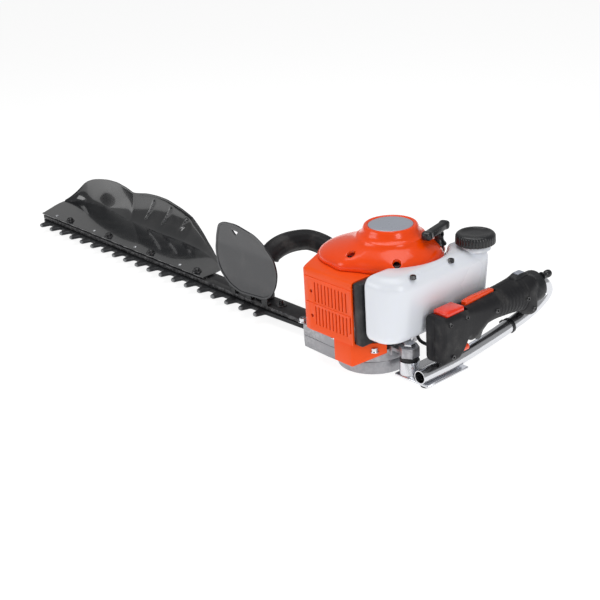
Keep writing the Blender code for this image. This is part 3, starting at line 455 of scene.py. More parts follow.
def toMetres(point):
    return Vector(point) * mm


def smoothly(t):
    t = min(max(t, 0.0), 1.0)
    return t * t * (3 - 2 * t)


def objectFrom(name, bm, collection):
    bmesh.ops.recalc_face_normals(bm, faces=bm.faces)
    mesh = bpy.data.meshes.new(name)
    bm.to_mesh(mesh)
    bm.free()
    obj = bpy.data.objects.new(name, mesh)
    collection.objects.link(obj)
    return obj


def placePiece(name, bm, look, body="body", stands=(), sharp=38.0):
    piece = objectFrom(name, bm, pieces)
    piece.data.shade_smooth()
    piece.data.set_sharp_from_angle(angle=math.radians(sharp))
    piece.data.materials.append(materials[look])
    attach(piece, body)
    if stands:
        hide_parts(*stands)
    return piece


# A piece that takes the place of one node
def replaceNode(name, bm, look, node, body="body", sharp=38.0):
    return placePiece(name, bm, look, body, (node,), sharp)


def softenEdges(piece, width, segments=3, angle=32.0):
    bevel = piece.modifiers.new("softEdges", "BEVEL")
    bevel.width = width * mm
    bevel.segments = segments
    bevel.limit_method = "ANGLE"
    bevel.angle_limit = math.radians(angle)
    bevel.harden_normals = False
    return piece


def cutWith(piece, *cutters):
    for i, bm in enumerate(cutters):
        cutter = objectFrom(f"{piece.name}Cutter{i}", bm, helpers)
        cutter.hide_render = True
        cutter.hide_viewport = True
        boolean = piece.modifiers.new("cut", "BOOLEAN")
        boolean.operation = "DIFFERENCE"
        boolean.object = cutter
        boolean.solver = "EXACT"
    return piece


def boxMesh(low, high):
    bm = bmesh.new()
    size = [(b - a) * mm for a, b in zip(low, high)]
    middle = [(a + b) * mm / 2 for a, b in zip(low, high)]
    bmesh.ops.create_cube(bm, size=1.0, matrix=Matrix.Translation(middle) @ Matrix.Diagonal((*size, 1.0)))
    return bm


axisTurns = {
    "X": Matrix.Rotation(math.radians(90), 4, "Y"),
    "Y": Matrix.Rotation(math.radians(-90), 4, "X"),
    "Z": Matrix.Identity(4),
}


def turnedMesh(profile, centre=(0, 0, 0), axis="Z", steps=64):
    bm = bmesh.new()
    points = [bm.verts.new((max(radius, 0.0) * mm, 0, height * mm)) for radius, height in profile]
    edges = [bm.edges.new(pair) for pair in zip(points, points[1:])]
    if profile[0][0] > 0 and profile[-1][0] > 0:
        edges.append(bm.edges.new((points[-1], points[0])))
    bmesh.ops.spin(bm, geom=points + edges, cent=(0, 0, 0), axis=(0, 0, 1), angle=math.tau, steps=steps,
                   use_merge=True)
    bmesh.ops.remove_doubles(bm, verts=bm.verts, dist=0.000001)
    bmesh.ops.transform(bm, matrix=Matrix.Translation(toMetres(centre)) @ axisTurns[axis], verts=bm.verts)
    return bm


def roundedProfile(profile, radius, steps=4):
    result = [profile[0]]
    for before, corner, after in zip(profile, profile[1:], profile[2:]):
        before, corner, after = Vector(before), Vector(corner), Vector(after)
        start = corner + (before - corner).normalized() * min(radius, 0.45 * (before - corner).length)
        end = corner + (after - corner).normalized() * min(radius, 0.45 * (after - corner).length)
        for step in range(steps + 1):
            t = step / steps
            result.append(tuple((1 - t) ** 2 * start + 2 * t * (1 - t) * corner + t * t * end))
    return result + [profile[-1]]


def roundedOutline(outline, radius, steps=5):
    closed = [outline[-1], *outline, outline[0]]
    return roundedProfile(closed, radius, steps)[1:-1]


def arcPoints(x, y, radius, start, end, steps):
    angles = [math.radians(start + (end - start) * i / steps) for i in range(steps + 1)]
    return [(x + radius * math.cos(a), y + radius * math.sin(a)) for a in angles]


planeTurns = {"XY": lambda u, v, w: (u, v, w), "XZ": lambda u, v, w: (u, w, v)}


def plateMesh(outlines, low, high, plane="XY"):
    bm = bmesh.new()
    place = planeTurns[plane]
    rims = []
    for outline in outlines:
        lower = [bm.verts.new(toMetres(place(u, v, low))) for u, v in outline]
        upper = [bm.verts.new(toMetres(place(u, v, high))) for u, v in outline]
        count = len(outline)
        for i in range(count):
            j = (i + 1) % count
            bm.faces.new((lower[i], lower[j], upper[j], upper[i]))
        rims.append((lower, upper))
    for side in (0, 1):
        edges = []
        for rim in rims:
            ring = rim[side]
            for i in range(len(ring)):
                edges.append(bm.edges.get((ring[i], ring[(i + 1) % len(ring)])))
        if len(outlines) == 1:
            bm.faces.new(rims[0][side])
        else:
            bmesh.ops.triangle_fill(bm, use_beauty=True, use_dissolve=False, edges=edges)
    return bm


def bridgeRings(bm, rings, closeEnds=True):
    made = [[bm.verts.new(toMetres(point)) for point in ring] for ring in rings]
    for lower, upper in zip(made, made[1:]):
        count = len(lower)
        for i in range(count):
            j = (i + 1) % count
            bm.faces.new((lower[i], lower[j], upper[j], upper[i]))
    if closeEnds:
        bm.faces.new(made[0][::-1])
        bm.faces.new(made[-1])
    return made


def smoothPath(knots, perSpan):
    knots = [Vector(knot) for knot in knots]
    padded = [2 * knots[0] - knots[1], *knots, 2 * knots[-1] - knots[-2]]
    path = []
    for i in range(1, len(padded) - 2):
        before, start, end, after = padded[i - 1 : i + 3]
        for step in range(perSpan):
            t = step / perSpan
            path.append(
                0.5 * (2 * start + (end - before) * t + (2 * before - 5 * start + 4 * end - after) * t * t
                       + (3 * start - before - 3 * end + after) * t**3)
            )
    return path + [knots[-1]]


# Rings round a path, carried along it without twist
def ringsAlong(path, radiusAt, sides, side=None):
    rings = []
    for i, point in enumerate(path):
        ahead = (path[min(i + 1, len(path) - 1)] - path[max(i - 1, 0)]).normalized()
        side = side or ahead.orthogonal().normalized()
        side = (side - ahead * side.dot(ahead)).normalized()
        across = ahead.cross(side)
        ring = []
        for k in range(sides):
            angle = math.tau * k / sides
            radius = radiusAt(i / (len(path) - 1), angle)
            ring.append(point + (side * math.cos(angle) + across * math.sin(angle)) * radius)
        rings.append(ring)
    return rings


def tubeMesh(path, radiusAt, sides):
    bm = bmesh.new()
    bridgeRings(bm, ringsAlong(path, radiusAt, sides))
    return bm


def roundedBoxRing(low, high, radii, perCorner=8):
    (x0, y0), (x1, y1) = low, high
    corners = [(x1, y0, -90), (x1, y1, 0), (x0, y1, 90), (x0, y0, 180)]
    ring = []
    for (x, y, start), radius in zip(corners, radii):
        cx = x - radius if x == x1 else x + radius
        cy = y - radius if y == y1 else y + radius
        ring += arcPoints(cx, cy, radius, start, start + 90, perCorner)
    return ring


def dressNodes(names, look, width=0.0, segments=2):
    for name in names:
        node = nodes[name]
        node.data.materials.clear()
        node.data.materials.append(materials[look])
        if width:
            weld = node.modifiers.new("weld", "WELD")
            weld.merge_threshold = 0.00001
            softenEdges(node, width, segments, 40.0)
        node.data.shade_smooth()
        node.data.set_sharp_from_angle(angle=math.radians(35))


def placeOn(bm, frameMatrix):
    bmesh.ops.transform(bm, matrix=frameMatrix, verts=bm.verts)
    return bm


def joinMeshes(*meshes):
    target = meshes[0]
    for extra in meshes[1:]:
        carrier = bpy.data.meshes.new("carrier")
        extra.to_mesh(carrier)
        extra.free()
        target.from_mesh(carrier)
        bpy.data.meshes.remove(carrier)
    return target


def readTable(table, x):
    if x <= table[0][0]:
        return table[0][1]
    for (x0, y0), (x1, y1) in zip(table, table[1:]):
        if x <= x1:
            return y0 + (y1 - y0) * (x - x0) / (x1 - x0)
    return table[-1][1]


# A table read with rounded corners: the mean of readings on both sides
def readSmooth(table, x, spread):
    return sum(readTable(table, x + spread * k) for k in (-1, -0.5, 0, 0.5, 1)) / 5


# cutter: finger blades with ground flanks, a bar and its bolts

cutter = {
    "firstTooth": -242.0, "pitch": 33.0, "teeth": 19,
    "tipWidth": 7.0, "rootWidth": 15.0, "tipY": -35.5, "rootY": -20.5, "backY": 12.0,
    "endX": -856.0, "startX": -104.0,
    "lower": (11.4, 14.0), "upper": (14.4, 17.0),
    "bolts": (-783.5, -660.5, -537.5, -414.5), "boltY": -5.0, "slotReach": 11.5, "slotHalf": 3.7,
    "screwStep": -44.0,
}


def bladeMesh(low, high, eyeY, groundUp):
    tipY, rootY, back, start = cutter["tipY"], cutter["rootY"], cutter["backY"], cutter["startX"]

    def outline(inset):
        points = []
        for i in range(cutter["teeth"]):
            x = cutter["firstTooth"] - cutter["pitch"] * i
            tip, root = cutter["tipWidth"] / 2 - inset * 0.7, cutter["rootWidth"] / 2 - inset
            points += [(x + root + 3.0, rootY + inset * 0.3), (x + root + 0.9, rootY - 0.4),
                       (x + root, rootY - 2.0)]
            points += [(x + tip + 0.3, tipY + 2.2), (x + tip - 0.2, tipY + 0.9 + inset * 0.7)]
            points += [(x + tip - 1.5, tipY + inset * 0.8), (x - tip + 1.5, tipY + inset * 0.8)]
            points += [(x - tip + 0.2, tipY + 0.9 + inset * 0.7), (x - tip - 0.3, tipY + 2.2)]
            points += [(x - root, rootY - 2.0), (x - root - 0.9, rootY - 0.4),
                       (x - root - 3.0, rootY + inset * 0.3)]
        points += [(cutter["endX"], rootY + 4), (cutter["endX"], back - 6), (cutter["endX"] + 6, back)]
        points += [(start - 40, back), (start - 30, eyeY + 7), (start, eyeY + 7), (start, eyeY - 7)]
        return points + [(start - 30, eyeY - 7), (start - 40, -16.0)]

    full, ground = outline(0.0), outline(1.5)
    layers = [(full, low), (full, high - 1.6), (ground, high)]
    if not groundUp:
        layers = [(ground, low), (full, low + 1.6), (full, high)]
    bm = bmesh.new()
    bridgeRings(bm, [[(x, y, z) for x, y in ring] for ring, z in layers])
    return bm


def slotMesh(x, low, high):
    y, reach, half = cutter["boltY"], cutter["slotReach"], cutter["slotHalf"]
    ends = arcPoints(x + reach - half, y, half, -90, 90, 8) + arcPoints(x - reach + half, y, half, 90, 270, 8)
    return plateMesh([ends], low, high)


# The ground faces look up on the upper blade and down on the lower one
def makeBlades():
    for name, node, body, (low, high), eyeY, up in (
        ("lowerCutterBlade", "lower_blade", "lower_cutter", cutter["lower"], -4.0, False),
        ("upperCutterBlade", "upper_blade", "upper_cutter", cutter["upper"], 4.0, True),
    ):
        blade = replaceNode(name, bladeMesh(low, high, eyeY, up), "bladeSteel", node, body, 25.0)
        cutWith(blade, joinMeshes(*[slotMesh(x, low - 2, high + 2) for x in cutter["bolts"]]))
        softenEdges(blade, 0.15, 2, 50.0)


def makeBolts():
    profile = [(0, 33.0), (2.4, 32.8), (4.2, 32.0), (5.3, 30.6), (5.6, 28.6), (6.4, 28.2), (7.2, 28.1),
               (7.5, 27.7)]
    profile += [(7.5, 26.7), (7.1, 26.4), (3.2, 26.4), (3.2, 11.1), (6.8, 11.1), (7.0, 10.8), (7.0, 7.4),
                (6.6, 7.0)]
    profile += [(4.0, 7.0), (3.6, 8.0), (0, 8.0)]
    screw = [(0, 26.8), (1.2, 26.7), (2.2, 27.0), (2.9, 26.6), (3.0, 26.0), (4.4, 25.9), (4.5, 25.5),
             (1.6, 25.5)]
    screw += [(1.6, 19.0), (0, 19.0)]
    for i, x in enumerate(cutter["bolts"]):
        node = f"blade_bolt_{i + 1}"
        place = (x, cutter["boltY"], 0)
        replaceNode(f"bladeBolt{i + 1}", turnedMesh(profile, place, steps=40), "boltBlack", node)
        spot = (x + cutter["screwStep"], cutter["boltY"], 0.6)
        placePiece(f"barScrew{i + 1}", turnedMesh(screw, spot, steps=24), "brightSteel", "body")
    washer = [(0, 31.0), (2.0, 30.6), (3.4, 28.4), (4.0, 25.4), (7.6, 25.2), (7.8, 24.8), (7.8, 23.9),
              (0, 23.9)]
    placePiece("barPlug", turnedMesh(washer, (-222, 0, 0), steps=32), "boltBlack", "body")


# deflector: one bent sheet with two scooped lobes and three pressed ribs

deflector = {
    "baseZ": 24.6, "baseY": -14.0, "thickness": 2.0, "columns": 200, "rows": 56, "baseShare": 0.5,
    "front": [(0.0, -863), (0.25, -874), (0.5, -883), (0.75, -889), (1.0, -893)],
    "rear": [(0.0, -387), (0.5, -389), (1.0, -394)],
    "fold": [(-893, 44), (-886, 56), (-872, 68), (-850, 77), (-801, 81), (-726, 68), (-627, 60),
             (-557, 57.5), (-500, 56), (-477, 54), (-440, 45), (-410, 34), (-394, 28), (-387, 25)],
    "crest": [(-893, 25.5), (-884, 38), (-874, 51), (-863, 61), (-840, 70), (-815, 75), (-790, 78.5),
              (-758, 80), (-725, 77), (-702, 73), (-682, 76), (-664, 79), (-636, 80.5), (-607, 79.5),
              (-566, 71), (-526, 58), (-498, 48), (-477, 40), (-440, 31), (-410, 27), (-394, 25.5)],
    "creaseX": -702.0, "bulge": 6.0, "crestY": 86.0,
    "ribs": (-655.0, -607.0, -559.0), "ribHeight": 2.8, "ribHalf": 2.2,
}


def deflectorPoint(along, across):
    d = deflector
    split = d["baseShare"]
    if across <= split:
        s = across / split
        start, end = readSmooth(d["front"], s, 0.06), readSmooth(d["rear"], s, 0.04)
        x = start + (end - start) * along
        y = d["baseY"] + (readSmooth(d["fold"], x, 8) - d["baseY"]) * s
        return (x, y, d["baseZ"])
    t = (across - split) / (1 - split)
    start, end = d["front"][-1][1], d["rear"][-1][1]
    x = start + (end - start) * along
    foldY = readSmooth(d["fold"], x, 8)
    crest = readSmooth(d["crest"], x, 7)
    lobeStart, lobeEnd = (start, d["creaseX"]) if x < d["creaseX"] else (d["creaseX"], end)
    share = (x - lobeStart) / (lobeEnd - lobeStart)
    arch = max(0.0, math.sin(math.pi * min(max(share, 0), 1))) ** 0.7
    bulge = d["bulge"] * arch * math.sin(math.pi * t * 0.62)
    tall = min(1.0, (crest - d["baseZ"]) / 38.0)
    y = foldY + tall * ((d["crestY"] - 7.0 - foldY) * math.sin(t * math.pi / 2) + bulge)
    z = d["baseZ"] + (crest - d["baseZ"]) * (1 - math.cos(t * math.pi / 2)) ** 0.8
    for ribX in d["ribs"]:
        lean = (z - 45) * 0.55
        near = math.exp(-(((x - ribX - lean) / d["ribHalf"]) ** 2))
        y -= d["ribHeight"] * near * smoothly((z - 34) / 6) * smoothly((crest - 7 - z) / 6)
    return (x, y, z)


def makeDeflector():
    d = deflector
    bm = bmesh.new()
    grid = []
    for i in range(d["columns"] + 1):
        along = i / d["columns"]
        column = [deflectorPoint(along, j / d["rows"]) for j in range(d["rows"] + 1)]
        grid.append([bm.verts.new(toMetres(point)) for point in column])
    for left, right in zip(grid, grid[1:]):
        for j in range(d["rows"]):
            bm.faces.new((left[j], right[j], right[j + 1], left[j + 1]))
    bmesh.ops.remove_doubles(bm, verts=bm.verts, dist=0.00005)
    piece = replaceNode("leafDeflector", bm, "guardPaint", "deflector", sharp=60.0)
    sheet = piece.modifiers.new("sheet", "SOLIDIFY")
    sheet.thickness = d["thickness"] * mm
    sheet.offset = -1.0
    softenEdges(piece, 0.6, 2, 50.0)


# shield: dished plate with a stiffened rim, a hanging hole and two creases

shield = {
    "outline": [(-321, 131), (-308, 136), (-280, 138), (-241, 130), (-224, 119), (-208, 101), (-202, 82),
                (-206, 63), (-218, 43), (-232, 36), (-286, 32), (-312, 39), (-328, 50), (-337, 64),
                (-339, 88), (-334, 106)],
    "hole": [(-293, 127.5), (-278, 126.5), (-286, 119)],
    "middle": (-270, 84), "y": -19.4, "thickness": 2.4, "upperCrease": 99.0, "lowerCrease": 48.0,
}


def makeShield():
    s = shield
    rim = roundedOutline(s["outline"], 9.0, 6)
    mx, mz = s["middle"]
    bm = bmesh.new()
    rings = []
    for scale in (1.0, 0.985, 0.965, 0.95, 0.9, 0.8, 0.68, 0.55, 0.42, 0.3, 0.18, 0.08):
        ring = []
        for x, z in rim:
            px, pz = mx + (x - mx) * scale, mz + (z - mz) * scale
            lip = -0.9 if scale > 0.96 else 0.0
            y = s["y"] + lip - 0.14 * max(0.0, pz - s["upperCrease"]) - 0.14 * max(0.0, s["lowerCrease"] - pz)
            y += 0.9 * (1 - scale * scale)
            ring.append((px, y, pz))
        rings.append(ring)
    made = bridgeRings(bm, rings, closeEnds=False)
    bm.faces.new(made[-1])
    piece = replaceNode("handShield", bm, "shieldMoulding", "hand_shield", sharp=30.0)
    sheet = piece.modifiers.new("sheet", "SOLIDIFY")
    sheet.thickness = s["thickness"] * mm
    sheet.offset = 0.0
    cutWith(piece, plateMesh([roundedOutline(s["hole"], 2.0, 4)], -40, 0, "XZ"))
    softenEdges(piece, 0.5, 2, 50.0)


# front handle: bent tube, its foot and the long rubber grip

frontHandle = {
    "knots": [(-262, 3, 24.0), (-262, 3, 62), (-259, 12, 84), (-256, 32, 95), (-255, 62, 95),
              (-244, 84, 91), (-212, 92, 80), (-155, 76, 58), (-122, 56, 38), (-112, 48, 20)],
    "radius": 9.5, "gripRadius": 15.0, "gripFrom": 1.9, "gripTo": 6.25, "spans": 14,
}


def makeFrontHandle():
    h = frontHandle
    path = smoothPath(h["knots"], h["spans"])
    replaceNode("frontHandleTube", tubeMesh(path, lambda share, angle: h["radius"], 40), "blackMoulding",
                "front_handle")
    foot = placePiece("frontHandleFoot", boxMesh((-122, 35.6, 12.0), (-100, 58, 21.0)), "blackMoulding",
                      "body")
    softenEdges(foot, 2.0, 4)
    collar = [(9.5, 24.0), (13.0, 24.0), (14.0, 25.0), (14.0, 29.0), (12.5, 31.5), (10.8, 38.0), (9.5, 39.0)]
    placePiece("frontHandleSocket", turnedMesh(collar, (-262, 3, 0), steps=40), "blackMoulding", "body")

    first, last = round(h["gripFrom"] * h["spans"]), round(h["gripTo"] * h["spans"])
    sleeve = path[first : last + 1]

    def gripRadius(share, angle):
        ends = min(share, 1 - share) / 0.045
        rounding = math.sqrt(max(0.0, 1 - (1 - min(ends, 1.0)) ** 2))
        swell = 1.4 * math.exp(-(((share - 0.97) / 0.05) ** 2))
        swell += 1.0 * math.exp(-(((share - 0.03) / 0.04) ** 2))
        flats = 0.35 * math.cos(angle * 10) * smoothly((share - 0.1) / 0.05) * smoothly((0.9 - share) / 0.05)
        return 10.0 + (h["gripRadius"] - 10.0 + swell + flats) * (0.15 + 0.85 * rounding)

    fine = []
    for a, b in zip(sleeve, sleeve[1:]):
        fine += [a.lerp(b, k / 4) for k in range(4)]
    replaceNode("frontGripSleeve", tubeMesh(fine + [sleeve[-1]], gripRadius, 48), "gripRubber",
                "front_grip", sharp=50.0)


# engine cover: thin orange shell with two rows of louvres

cover = {
    "low": 46.0, "top": 131.0, "wall": 2.6, "crown": 6.0,
    "louvreRows": ((57.0, 81.0), (89.0, 114.0)), "louvreStart": -80.0, "louvreStep": 6.3, "louvreCount": 10,
    "louvreWidth": 2.0, "holes": ((-87.5, 101.0, 2.4), (-87.5, 67.0, 2.4)),
}


def coverOutline(inset, openSide=0.0):
    plan = [(-13 + openSide, -60 + inset), (-92, -60 + inset), (-100 + inset * 0.4, -59 + inset),
            (-106 + inset * 0.7, -55 + inset * 0.8), (-110 + inset, -48 + inset * 0.3), (-126 + inset, -14),
            (-128 + inset, -4), (-128 + inset, 6), (-123 + inset * 0.8, 22 + openSide),
            (-13 + openSide, 26 + openSide)]
    return plan[::-1]


def makeEngineCover():
    c = cover
    rings = [[(x, y, c["low"]) for x, y in coverOutline(0)]]
    for step in range(7):
        angle = math.radians(15 * step)
        inset, z = c["crown"] * (1 - math.cos(angle)), c["top"] - c["crown"] * (1 - math.sin(angle))
        rings.append([(x, y, z) for x, y in coverOutline(inset)])
    bm = bmesh.new()
    bridgeRings(bm, rings)
    shell = replaceNode("engineCoverShell", bm, "orangeSatin", "engine_cover", sharp=30.0)

    hollow = plateMesh([coverOutline(c["wall"], 12)], 30.0, c["top"] - c["wall"])
    fanRoom = turnedMesh([(0, 20), (44.0, 20), (44.0, 150), (0, 150)], (-39, 37.8, 0), steps=96)
    slots, half = [], c["louvreWidth"] / 2
    for low, high in c["louvreRows"]:
        for i in range(c["louvreCount"]):
            x = c["louvreStart"] + c["louvreStep"] * i
            ends = arcPoints(x, high, half, 0, 180, 6) + arcPoints(x, low, half, 180, 360, 6)
            slots.append(plateMesh([ends], -64, -54, "XZ"))
    holes = [plateMesh([arcPoints(x, z, r, 0, 345, 23)], -64, -54, "XZ") for x, z, r in c["holes"]]
    rearSlit = boxMesh((-17.5, -64, 62), (-15.4, -54, 84))
    cutWith(shell, hollow, fanRoom, joinMeshes(*slots, *holes, rearSlit))
    softenEdges(shell, 0.5, 2, 50.0)
    # raised panel lines across the side
    for name, low, high in (("coverRidgeLow", 84.0, 85.4), ("coverRidgeTop", 119.0, 120.6)):
        ridge = placePiece(name, boxMesh((-98, -60.7, low), (-15, -59.0, high)), "orangeSatin", "body")
        softenEdges(ridge, 0.6, 3)


# starter housing: round dome drawn out to the front, with stepped rings and sunk screws

dome = {
    "centre": (-39.0, 37.8), "steps": 144,
    "profile": [(3, 174.6), (15, 174.6), (29.3, 174.6), (29.8, 175.4), (30.8, 176.0), (33.2, 175.9),
                (34.8, 174.4), (35.8, 171.6), (36.8, 168.8), (38.4, 166.2), (40.6, 164.0), (42.4, 163.0),
                (43.8, 162.4), (44.6, 161.2), (45.6, 159.0), (48.0, 156.6), (51.0, 154.2), (54.5, 151.4),
                (58.0, 148.6), (61.2, 145.6), (63.4, 142.6), (64.8, 139.4), (65.5, 136.6), (65.6, 134.8),
                (66.6, 134.5), (66.8, 132.3)],
    "inner": [(63.2, 132.3), (62.0, 138.0), (57.0, 145.4), (50.0, 151.0), (43.0, 156.4), (37.0, 163.0),
              (33.0, 171.0), (3, 171.4)],
    "lugs": (-100, -39, 60, 138), "frontAngle": 207.0, "frontReach": 31.0,
    "screws": ((-50.0, -22.8, 144.6), (10.2, -2.4, 142.0)),
}


def domeRadius(angle, radius, height):
    low = smoothly((166.0 - height) / 31.0) * smoothly((radius - 37.0) / 26.0)
    front = max(0.0, math.cos(angle - math.radians(dome["frontAngle"]))) ** 2.6
    lugs = sum(max(0.0, math.cos(angle - math.radians(a))) ** 70 for a in dome["lugs"])
    lugLow = smoothly((150.0 - height) / 9.0) * smoothly((radius - 52) / 9)
    return radius + dome["frontReach"] * low * front + 5.0 * lugLow * lugs


def makeDome():
    cx, cy = dome["centre"]
    rings = []
    for radius, height in dome["profile"] + dome["inner"]:
        ring = []
        for k in range(dome["steps"]):
            angle = math.tau * k / dome["steps"]
            reach = domeRadius(angle, radius, height)
            ring.append((cx + reach * math.cos(angle), cy + reach * math.sin(angle), height))
        rings.append(ring)
    bm = bmesh.new()
    bridgeRings(bm, rings)
    piece = replaceNode("starterHousingShell", bm, "orangeMoulding", "starter_housing", sharp=28.0)
    pocket = [(0, -4.0), (5.2, -4.0), (6.4, 14.0), (0, 14.0)]
    pockets = [turnedMesh(pocket, spot, steps=32) for spot in dome["screws"]]
    well = turnedMesh([(0, -30), (6.6, -30), (6.6, 30), (0, 30)], (*starterGrip["rope"], 140), steps=32)
    cutWith(piece, joinMeshes(*pockets, well))
    softenEdges(piece, 0.45, 2, 40.0)
    for i, (x, y, z) in enumerate(dome["screws"]):
        head = [(0, 1.0), (1.6, 1.0), (1.8, 2.6), (3.6, 2.5), (4.2, 1.8), (4.3, -1.0), (4.3, -4.6), (0, -4.6)]
        placePiece(f"domeScrew{i + 1}", turnedMesh(head, (x, y, z - 1.6), steps=28), "boltBlack", "body")
    post = turnedMesh([(0, 149.0), (5.0, 149.0), (5.0, 172.0), (0, 172.0)], (cx, cy, 0), steps=32)
    placePiece("pulleyPost", post, "machinedSteel", "body")
    label = [(0, 175.7), (12, 175.75), (26.0, 175.7), (28.2, 175.5), (28.9, 175.1), (28.9, 174.9), (0, 174.9)]
    replaceNode("labelDisc", turnedMesh(label, (cx, cy, 0), steps=96), "labelSheet", "label_disc")


# starter grip: moulded T on an upright rope, standing in a flared boot

starterGrip = {"rope": (0.5, 85.0), "middle": (5.0, 74.0, 166.3), "turn": 14.5, "half": 29.5, "deep": 6.0,
               "thick": 6.6}


def makeStarterGrip():
    g = starterGrip
    rings = []
    for i in range(61):
        share = -1 + i / 30
        side = g["half"] * math.sin(share * math.pi / 2)
        reach = abs(side / g["half"])
        taper = 0.25 + 0.75 * math.sqrt(max(0.0, 1 - reach**7))
        flare = 1 + 0.28 * smoothly((reach - 0.55) / 0.3)
        deep, thick = g["deep"] * taper * flare, g["thick"] * taper * (0.78 * flare)
        ring = []
        for k in range(40):
            cosine, sine = math.cos(math.tau * k / 40), math.sin(math.tau * k / 40)
            x = deep * math.copysign(abs(cosine) ** 0.6, cosine)
            ring.append((x, side, thick * math.copysign(abs(sine) ** 0.6, sine)))
        rings.append(ring)
    bm = bmesh.new()
    bridgeRings(bm, rings)
    turn = Matrix.Rotation(math.radians(g["turn"]), 4, "Z")
    placeOn(bm, Matrix.Translation(toMetres(g["middle"])) @ turn)
    replaceNode("starterPull", bm, "blackGloss", "starter_grip", "pull_grip", 50.0)
    stem = [(0, 158.5), (5.6, 158.5), (6.2, 159.0), (6.0, 160.0), (4.8, 161.6), (4.6, 166.0), (0, 166.0)]
    x, y = g["rope"]
    placePiece("starterPullStem", turnedMesh(stem, (x, y, 0), steps=40), "blackGloss", "pull_grip")
    boot = [(2.6, 137.2), (2.6, 158.0), (5.4, 158.0), (6.4, 157.4), (6.6, 156.0), (5.8, 154.4),
            (5.9, 151.0), (7.2, 147.6), (9.2, 145.6), (9.6, 144.4), (9.4, 143.4), (6.2, 143.2),
            (6.2, 137.2)]
    replaceNode("ropeBoot", turnedMesh(boot, (x, y, 0), steps=48), "blackGloss", "rope_guide")


# fuel tank: translucent blow-moulded body, ribbed cap

tank = {
    "low": (4.0, -58.0), "high": (58.0, 126.0), "radii": (34.0, 20.0, 10.0, 9.0),
    "bottom": 57.0, "top": 145.0, "bottomRound": 14.0, "topRound": 17.0, "slope": math.tan(math.radians(7)),
    "cap": (43.0, 106.0), "screws": ((54.0, -20.0), (52.0, 50.0)),
}


def tankRing(inset, z):
    t = tank
    limit = min(t["high"][0], 49.5 + (z - t["bottom"]) * t["slope"])
    (x0, y0), (x1, y1) = t["low"], t["high"]
    radii = [max(r - inset, 3.0) for r in t["radii"]]
    ring = roundedBoxRing((x0 + inset * 0.6, y0 + inset), (x1 - inset, y1 - inset), radii, 12)
    gain = (limit - 20) / (x1 - 20)
    return [(20 + (x - 20) * gain if x > 20 else x, y, z) for x, y in ring]


def makeTank():
    t = tank
    rings = [tankRing(t["bottomRound"] + 5, t["bottom"])]
    for step in range(9):
        angle = math.radians(90 * step / 8)
        rings.append(tankRing(t["bottomRound"] * (1 - math.sin(angle)),
                              t["bottom"] + t["bottomRound"] * (1 - math.cos(angle))))
    rings.append(tankRing(0, 95.0))
    for step in range(11):
        angle = math.radians(90 * step / 10)
        inset = t["topRound"] * (1 - math.cos(angle))
        rings.append(tankRing(inset, t["top"] - t["topRound"] * (1 - math.sin(angle))))
    rings.append(tankRing(t["topRound"] + 5, t["top"] + 0.2))
    bm = bmesh.new()
    bridgeRings(bm, rings)
    body = replaceNode("fuelTankBody", bm, "tankPlastic", "fuel_tank", sharp=40.0)
    bowl = [(0, 130.0), (68.4, 130.0), (70.4, 131.0), (71.8, 134.0), (72.6, 139.0), (74.5, 143.0),
            (79.0, 145.6), (84.0, 170.0), (0, 170.0)]
    dimples = [turnedMesh([(0, 143.0), (5.4, 143.0), (7.4, 147.5), (7.4, 160), (0, 160)], (x, y, 0), steps=32)
               for x, y in t["screws"]]
    cutWith(body, turnedMesh(bowl, (-39, 37.8, 0), steps=128), joinMeshes(*dimples))
    softenEdges(body, 1.6, 4, 38.0)
    for i, (x, y) in enumerate(t["screws"]):
        head = [(0, 145.4), (1.4, 145.4), (1.6, 146.8), (3.4, 146.6), (3.9, 145.9), (4.0, 142.0), (0, 142.0)]
        placePiece(f"tankScrew{i + 1}", turnedMesh(head, (x, y, 0), steps=28), "boltBlack", "body")
    cx, cy = t["cap"]
    neck = [(14.0, 142.0), (19.5, 142.0), (18.4, 145.8), (17.0, 147.2), (17.0, 159.0), (14.0, 159.0)]
    placePiece("fuelTankNeck", turnedMesh(neck, (cx, cy, 0), steps=64), "tankPlastic", "body")

    profile = [(0, 162.2), (8, 162.4), (17.5, 162.6), (18.3, 163.2), (19.6, 163.6), (22.6, 163.2),
               (24.2, 162.0), (25.0, 160.2), (25.2, 156.0), (25.3, 152.0), (25.0, 150.2), (24.2, 149.6),
               (17.6, 149.6), (17.6, 160.0), (0, 160.0)]
    bm = turnedMesh(profile, steps=288)
    for vert in bm.verts:
        radius, z = math.hypot(vert.co.x, vert.co.y) / mm, vert.co.z / mm
        if radius > 22:
            angle = math.atan2(vert.co.y, vert.co.x)
            rib = abs(math.sin(angle * 18)) ** 0.7 - 0.5
            push = 1 + 0.8 * rib * smoothly((radius - 22) / 2.2) * smoothly((162.4 - z) / 2) / radius
            vert.co.x *= push
            vert.co.y *= push
    placeOn(bm, Matrix.Translation(toMetres((cx, cy, 0))))
    replaceNode("fuelCapKnob", bm, "blackGloss", "fuel_cap", "cap", 40.0)


# rear tube: bright bent tube, open at its near end

rearTube = {
    "knots": [(69, -28, 18.3), (69, 32, 18.3), (69, 96, 24), (69, 142, 30), (70, 176, 37), (71, 198, 45),
              (73, 212, 57), (74, 207, 69), (75, 194, 73.5), (75, 178, 74), (75, 146, 74)],
    "outer": 9.25, "inner": 7.65, "spans": 14, "tieAt": 3.0,
}


